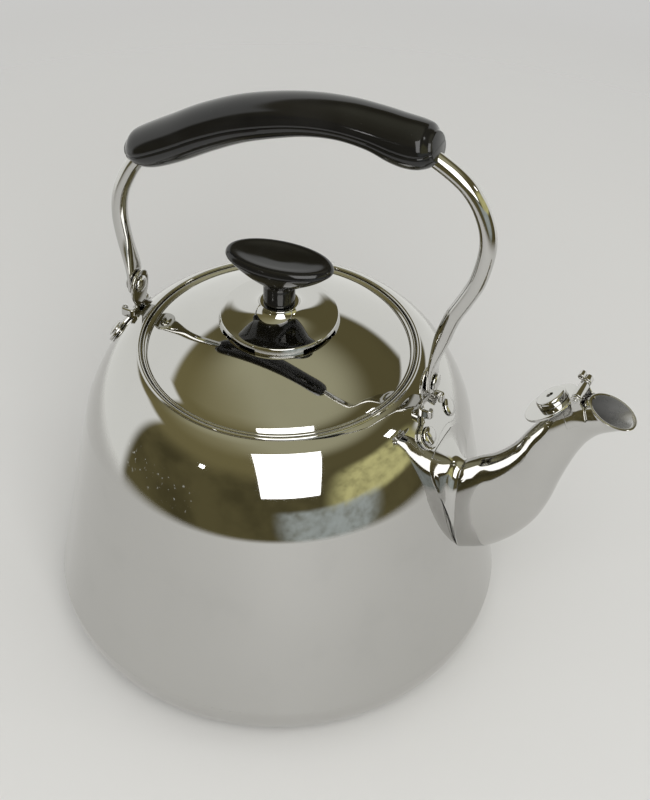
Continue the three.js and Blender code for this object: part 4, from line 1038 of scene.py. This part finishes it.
def make_lid(lid, wall):
    """Domed lid with its beaded rim, the ring that centres it in the mouth, and the vented disc."""
    bead_radius, seat_radius = 0.0009, 0.0602
    start = lid.radius - 0.0022
    rise = lid.apex - lid.rim
    sphere = (start * start + rise * rise) / (2 * rise)

    def height(radius):
        return lid.apex - sphere + sqrt(sphere * sphere - radius * radius)

    over = [(start * (1 - k / 40), height(start * (1 - k / 40))) for k in range(1, 41)]
    under = [(r, z - wall) for r, z in over[::-1] if r < seat_radius - 0.0004]
    bead = Vector((lid.radius - bead_radius, (lid.rim + lid.rim_under) / 2))
    roll = arc(bead.x, bead.y, bead_radius, -90, 22)
    groove = [(start + 0.0001, lid.rim - 0.0006), (start - 0.0003, lid.rim - 0.0002)]
    plate = turn(under + [(seat_radius, lid.rim_under + 0.0003)] + roll + groove + over[1:], FINE_STEPS)
    hole, hole_circle = 0.0025, 0.016
    holes = []
    for a in [TURN * k / 4 + 0.01 for k in range(4)]:
        place = (hole_circle * cos(a), hole_circle * sin(a), lid.apex)
        holes.append(drill(hole, 0.03, place))
    cut_away(plate, *holes)
    settle(plate, "lid", "lid_dome", "lid", "spun_steel")

    ring_inner, ring_outer, ring_low = 0.0579, 0.0587, 0.1535
    ring = turn(rounded([
        (ring_inner, ring_low, 0.0003), (ring_outer, ring_low, 0.0003),
        (ring_outer, height(ring_outer) - 0.0011, 0), (ring_inner, height(ring_inner) - 0.0011, 0)]), 128)
    settle(ring, "lid_ring", "lid_locating_ring", "lid", "raw_steel")
    make_disc(lid, height(lid.disc) + GAP)


def make_disc(lid, foot):
    """Vented disc under the knob, flared up to the stem, with four gaps in its edge."""
    sheet_wall, screw_hole = 0.001, 0.0025
    brow, top, neck = foot + lid.disc_band, lid.disc_top, lid.disc_neck
    flare = []
    for k in range(15):
        r = curve(lid.disc_edge, neck + 0.001, neck, k / 14)
        flare.append((r, curve(brow, brow + 0.001, top, k / 14)))
    within = beside(flare, -sheet_wall)
    corners = [(lid.disc - 0.0008, foot, 0.0002), (lid.disc, foot, 0.0004),
               (lid.disc_edge + 0.0003, brow - 0.0002, 0.0007)]
    corners += [(r, z, 0) for r, z in flare[1:-1]]
    corners += [(neck, top, 0.0005), (screw_hole, top, 0), (screw_hole, top - sheet_wall, 0)]
    corners += [(r, z, 0) for r, z in within[-2:0:-1]]
    corners.append((lid.disc_edge - 0.0008, brow - sheet_wall, 0))
    disc = turn(rounded(corners), 144)
    vents = []
    for k in range(4):
        begin()
        bpy.ops.mesh.primitive_cube_add(size=1, location=(0, 0, 0))
        vent = bpy.context.object
        vent.data.transform(Matrix.Diagonal((0.012, 0.021, 0.0068, 1)))
        choose(vent)
        bpy.ops.object.mode_set(mode="EDIT")
        bpy.ops.mesh.select_all(action="SELECT")
        bpy.ops.mesh.bevel(offset=0.001, segments=4)
        bpy.ops.object.mode_set(mode="OBJECT")
        turned = Matrix.Rotation(radians(72.5) + TURN * k / 4, 4, "Z")
        vent.data.transform(turned @ Matrix.Translation((lid.disc, 0, foot - 0.001)))
        vents.append(vent)
    cut_away(disc, *vents)
    settle(disc, "vented_disc", "knob_base", "lid", "spun_steel")


def make_knob(lid):
    """Oval knob on its stem, moulded in one."""
    base, stem = lid.disc_top + GAP, lid.stem
    rows = [(stem - inset, stem - inset, base + up)
            for inset, up in ((0.0006, 0), (0.0002, 0.0002), (0, 0.0007), (0, 0.002))]
    lens = [(lid.knob_length * a, lid.knob_width * b, blend(lid.knob_bottom, lid.knob_top, c))
            for a, b, c in KNOB_SHARES]
    rows += smooth([rows[-1], (stem, stem, lid.knob_bottom - 0.003)] + lens, 6)[1:]
    turned = Matrix.Rotation(lid.knob_turn, 3, "Z")
    rings = []
    for long, wide, z in rows:
        angles = [TURN * i / 80 for i in range(80)]
        rings.append([turned @ Vector((long * cos(a), wide * sin(a), z)) for a in angles])
    settle(loft(rings, smoothing=45), "knob_oval", "knob", "lid", "black_moulded")


def make_flap(whistle, hinge):
    """Flap with its arm and knuckle, and the whistle's cup."""
    open_flap = hinge @ Matrix.Rotation(whistle.tilt - whistle.swing, 4, "Y")
    flap, centre, seat, hole = whistle.flap, 0.01643, 0.001, 0.0016
    top, cup_x = seat + whistle.flap_sheet, centre - 0.0015
    curb = top + 0.0003
    disc = turn(rounded([
        (0, seat, 0), (flap, seat - 0.0001, 0.0003), (flap, curb, 0.0005), (flap - 0.0014, curb, 0.0006),
        (flap - 0.0022, top, 0.0006), (0, top, 0)], closed=False), 72)
    disc.data.transform(Matrix.Translation((centre, 0, 0)))
    cut_away(disc, drill(hole, 0.01, (cup_x, 0, seat)))
    arm_start, arm_end, arm_half = -0.0011, 0.0068, 0.0036
    arm = sheet(rounded([
        (arm_start, -arm_half, 0.0008), (arm_end, -arm_half, 0.001), (arm_end, arm_half, 0.001),
        (arm_start, arm_half, 0.0008)]), 0.00094, lambda x, y: (x, y, seat + 0.00045), 0.0015)
    barrel = collar(-0.005, 0.005)
    barrel.data.transform(Matrix.Rotation(pi / 2, 4, "X"))
    cover = join(disc, arm, barrel)
    cover.data.transform(open_flap)
    settle(cover, "flap", "whistle_cover", "whistle")

    rim, radius, wall = seat - GAP, whistle.cup, 0.0006
    end = rim - whistle.cup_depth
    cup = turn(rounded([
        (hole, end, 0.0002), (radius, end, 0.0012), (radius, rim, 0), (radius - wall, rim, 0),
        (radius - wall, end + wall, 0.0008), (hole, end + wall, 0.0002)]), 56)
    cup.data.transform(open_flap @ Matrix.Translation((cup_x, 0, 0)))
    settle(cup, "flap_cup", "whistle_cup", "whistle")


def make_pin(hinge):
    """Pin of the flap's hinge, and the curled thumb tab on its far end."""
    radius, tip, low, high = 0.0011, 0.0005, -0.0076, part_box("whistle_pin")[1].y
    pin = turn(dome(radius, tip, low + tip, 5, -1)[::-1] + dome(radius, tip, high - tip, 5), 28)
    pin.data.transform(hinge @ Matrix.Rotation(-pi / 2, 4, "X"))
    settle(pin, "flap_pin", "whistle_pin", "whistle", "raw_steel")

    near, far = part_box("whistle_tab")[0].y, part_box("whistle_tab")[1].y
    lean, curl, straight = radians(-35), 0.001, 0.0033

    def leaf(s, y):
        """Middle of the tab at a distance from the pin, before and after the curl begins."""
        a = max(s - straight, 0) / curl
        x, z = -curl * (1 - cos(a)), min(s, straight) + curl * sin(a)
        return (x * cos(lean) + z * sin(lean), y, z * cos(lean) - x * sin(lean))

    end = straight + curl * radians(300)
    tab = sheet(rounded([(0.0013, near, 0), (end, near, 0.0008), (end, far, 0.0008), (0.0013, far, 0)]),
                0.0009, leaf, 0.0006)
    hub = collar(near, far)
    hub.data.transform(Matrix.Rotation(-pi / 2, 4, "X"))
    thumb = join(tab, hub)
    thumb.data.transform(hinge)
    settle(thumb, "flap_thumb_tab", "whistle_tab", "whistle")


def make_saddle(whistle, spout, hinge):
    """Strap that hugs the neck's back, and the two cheeks that hold the pin."""
    steps = 20
    fine = neck_stations(steps)
    pin_line = Vector((whistle.hinge_x, 0, whistle.hinge_z))
    tip, before = [neck_point(spout, fine[k], pi / 2, 0) for k in (-1, -1 - steps)]
    back = (tip - before).normalized()
    neck_radius, lift = 0.0094, 0.00065

    def station(place):
        k = min(int(place), len(fine) - 2)
        return tuple(blend(p, q, place - k) for p, q in zip(fine[k], fine[k + 1]))

    def hug(across, along):
        """Point over the neck at a distance across its back and along it from the pin."""
        low, high = 6.0 * steps, len(fine) + 1.0 * steps
        around = pi / 2 - across / neck_radius
        for _ in range(24):
            place = (low + high) / 2
            point = neck_point(spout, station(place), around, -lift)
            if (point - pin_line).dot(back) < along:
                low = place
            else:
                high = place
        return point

    half, slot, end, top, soft = 0.0132, 0.0055, -0.0086, 0.0022, 0.0015
    side = [(half, end, soft), (half, top, soft), (slot, top, 0.0008), (slot, -0.0044, 0.0008)]
    strap = sheet(
        rounded([(-half, end, soft)] + side + [(-x, y, r) for x, y, r in side[:0:-1]]), 0.0007, hug, 0.0008)
    cheek_line = [(KNUCKLE * cos(a), KNUCKLE * sin(a))
                  for a in [radians(-20 + 220 * k / 20) for k in range(21)]]
    cheek_line += [(-0.0008, -0.0068), (0.0056, -0.0062)]
    cheek = sheet(cheek_line, 0.001, lambda x, z: (x, 0.006, z), 0.0012)
    cheek.data.transform(hinge)
    other = twin(cheek, Matrix.Scale(-1, 4, (0, 1, 0)))
    settle(join(strap, cheek, other), "flap_saddle", "whistle_saddle")


def carry_over():
    """Give the pieces that keep the frame's own shape their finishes."""
    for node in ("knob_insert", "knob_screw", "knob_washer", "grip_screw_rear", "grip_screw_front"):
        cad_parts[node].data.materials.clear()
        look = "turned_brass" if node == "knob_insert" else "raw_steel"
        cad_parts[node].data.materials.append(finish(look))


def make_floor(stage):
    """Pale floor that fades out into the backdrop."""
    begin()
    bpy.ops.mesh.primitive_circle_add(vertices=96, radius=1.2, fill_type="NGON", location=(0, 0, 0))
    floor = bpy.context.object
    floor.name = "floor"
    material = bpy.data.materials.new("pale_floor")
    recipe = Recipe(material)
    place = recipe.node("ShaderNodeTexCoord", output="Object")
    distance = recipe.node("ShaderNodeVectorMath", {"operation": "LENGTH"}, {0: place}, 1)
    recipe.surface({
        "Base Color": rgba(stage.floor), "Roughness": stage.floor_roughness,
        "Alpha": 1 - distance.between(stage.floor_radius, stage.floor_fade)})
    floor.data.materials.append(material)


def make_room(stage):
    """World: a plain backdrop for the camera, and for the steel a pale wall in a darker room."""
    world = bpy.data.worlds.new("studio")
    bpy.context.scene.world = world
    recipe = Recipe(world)
    outlook = recipe.node("ShaderNodeTexCoord", output="Generated")
    x, y, z = recipe.axes(outlook)
    # The wall: beyond the kettle from the camera, and under a top edge that falls to the right.
    behind = (y * 0.887 - x * 0.4617).between(-0.02, 0.12)
    under = 1 - (z + x * 0.2).between(0.42, 0.5)
    left = (0 - x - y).between(0.1, 0.7) * z.between(0.3, 0.6)
    blotch = recipe.noise(outlook, 2.4, 3.0, 0.55).between(0.34, 0.7)
    room = recipe.tint(z.between(0.7, 0.93), rgba(stage.room), rgba(stage.ceiling))
    room = recipe.tint(left * 0.7, room, rgba(stage.room, 1.9))
    room = recipe.tint(blotch * (1 - z.between(0.3, 0.6)) * 0.6, room, rgba(stage.room, 0.35))
    right_shelf = x.between(0.76, 0.92) * z.between(-0.02, 0.06) * (1 - z.between(0.4, 0.52))
    low_window = (x * 0.82 - y * 0.57).between(0.84, 0.95) * (1 - z.between(0.03, 0.09))
    left_lights = (0 - x).between(0.2, 0.5) * z.between(-0.2, -0.12) * (1 - z.between(0.05, 0.12))
    for where, scale, low, high, tone in (
            (right_shelf, 9.0, -0.1, 0.7, (0.74, 0.7, 0.32)),
            (low_window, 12.0, -0.2, 0.8, (0.5, 0.55, 0.54)),
            (left_lights, 26.0, 0.64, 0.76, (0.8, 0.8, 0.76))):
        spots = recipe.noise(outlook, scale, 2.0).between(low, high)
        room = recipe.tint(where * spots, room, rgba(tone))
    seen = recipe.tint(behind * under, room, rgba(stage.wall))
    camera_ray = recipe.node("ShaderNodeLightPath", output="Is Camera Ray")
    diffuse_ray = recipe.node("ShaderNodeLightPath", output="Is Diffuse Ray")
    seen = recipe.tint(camera_ray, seen, rgba(stage.backdrop))
    tone = recipe.tint(diffuse_ray, seen, rgba((1, 1, 0.98), stage.fill))
    light = recipe.node("ShaderNodeBackground", None, {"Color": tone, "Strength": 1.0})
    recipe.node("ShaderNodeOutputWorld", None, {"Surface": light})


def make_view():
    """Soft lamps and the camera."""
    for name, spot, wide, tall, watts in LAMPS:
        data = bpy.data.lights.new(name, "AREA")
        data.shape = "RECTANGLE"
        data.size, data.size_y = wide, tall
        data.energy = watts
        lamp = bpy.data.objects.new(name, data)
        aim = Vector(LAMPS_AIM) - Vector(spot)
        lamp.matrix_world = Matrix.Translation(spot) @ aim.to_track_quat("-Z", "Y").to_matrix().to_4x4()
        bpy.context.collection.objects.link(lamp)

    data = bpy.data.cameras.new("camera")
    data.sensor_fit = "VERTICAL"
    data.sensor_height = FILM_HEIGHT
    data.lens = CAMERA_LENS
    camera = bpy.data.objects.new("camera", data)
    stand = Matrix.Translation(CAMERA_PLACE)
    for axis, degrees in CAMERA_TURNS:
        stand = stand @ Matrix.Rotation(radians(degrees), 4, axis)
    camera.matrix_world = stand
    bpy.context.collection.objects.link(camera)
    bpy.context.scene.camera = camera
    bpy.context.scene.view_settings.view_transform = "Standard"


class KETTLE_OT_vessel(bpy.types.Operator):
    """Model the body and its base"""

    bl_idname = "kettle.vessel"
    bl_label = "Body and Base"

    def execute(self, context):
        make_vessel(context.scene.kettle_vessel, context.scene.kettle_spout)
        return {"FINISHED"}


class KETTLE_OT_spout(bpy.types.Operator):
    """Model the spout's root and neck"""

    bl_idname = "kettle.spout"
    bl_label = "Spout"

    def execute(self, context):
        scene = context.scene
        make_root(scene.kettle_spout, scene.kettle_vessel)
        make_neck(scene.kettle_spout, scene.kettle_vessel, scene.kettle_whistle.tilt)
        return {"FINISHED"}


class KETTLE_OT_ears(bpy.types.Operator):
    """Model the ears and their rivets"""

    bl_idname = "kettle.ears"
    bl_label = "Ears"

    def execute(self, context):
        make_ears(context.scene.kettle_handle, context.scene.kettle_vessel)
        return {"FINISHED"}


class KETTLE_OT_bail(bpy.types.Operator):
    """Model the bail tube, its rivets and its grip"""

    bl_idname = "kettle.bail"
    bl_label = "Bail and Grip"

    def execute(self, context):
        make_bail(context.scene.kettle_handle)
        make_grip(context.scene.kettle_handle)
        return {"FINISHED"}


class KETTLE_OT_lid(bpy.types.Operator):
    """Model the lid, its vented disc and its knob"""

    bl_idname = "kettle.lid"
    bl_label = "Lid and Knob"

    def execute(self, context):
        make_lid(context.scene.kettle_lid, context.scene.kettle_vessel.wall)
        make_knob(context.scene.kettle_lid)
        return {"FINISHED"}


class KETTLE_OT_whistle(bpy.types.Operator):
    """Model the whistle"""

    bl_idname = "kettle.whistle"
    bl_label = "Whistle"

    def execute(self, context):
        whistle = context.scene.kettle_whistle
        hinge = Matrix.Translation((whistle.hinge_x, 0, whistle.hinge_z))
        make_flap(whistle, hinge)
        make_pin(hinge)
        make_saddle(whistle, context.scene.kettle_spout, hinge)
        return {"FINISHED"}


class KETTLE_OT_fasteners(bpy.types.Operator):
    """Finish the fasteners that keep the frame's own shape"""

    bl_idname = "kettle.fasteners"
    bl_label = "Fasteners"

    def execute(self, context):
        carry_over()
        return {"FINISHED"}


class KETTLE_OT_stage(bpy.types.Operator):
    """Set up the floor, the light and the camera"""

    bl_idname = "kettle.stage"
    bl_label = "Stage"

    def execute(self, context):
        stage = context.scene.kettle_stage
        make_floor(stage)
        make_room(stage)
        make_view()
        return {"FINISHED"}


PIECES = ("stage", "vessel", "spout", "ears", "bail", "lid", "whistle", "fasteners")
GROUPS = {
    "kettle_vessel": KettleVessel, "kettle_spout": KettleSpout, "kettle_handle": KettleHandle,
    "kettle_lid": KettleLid, "kettle_whistle": KettleWhistle, "kettle_finish": KettleFinish,
    "kettle_stage": KettleStage,
}


class KETTLE_PT_pieces(bpy.types.Panel):
    """Lists the kettle's pieces and their settings"""

    bl_idname = "KETTLE_PT_pieces"
    bl_label = "Kettle"
    bl_space_type = "VIEW_3D"
    bl_region_type = "UI"
    bl_category = "Kettle"

    def draw(self, context):
        for name in PIECES:
            self.layout.operator(f"kettle.{name}")
        for name, group in GROUPS.items():
            box = self.layout.box()
            for prop in group.__annotations__:
                box.prop(getattr(context.scene, name), prop)


CLASSES = (
    *GROUPS.values(), KETTLE_OT_vessel, KETTLE_OT_spout, KETTLE_OT_ears, KETTLE_OT_bail,
    KETTLE_OT_lid, KETTLE_OT_whistle, KETTLE_OT_fasteners, KETTLE_OT_stage, KETTLE_PT_pieces,
)


def register():
    for cls in CLASSES:
        bpy.utils.register_class(cls)
    for name, group in GROUPS.items():
        setattr(bpy.types.Scene, name, bpy.props.PointerProperty(type=group))


def unregister():
    for name in GROUPS:
        delattr(bpy.types.Scene, name)
    for cls in reversed(CLASSES):
        bpy.utils.unregister_class(cls)


def main():
    """Register the add-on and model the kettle."""
    register()
    for name in PIECES:
        getattr(bpy.ops.kettle, name)()


if __name__ == "__main__":
    main()
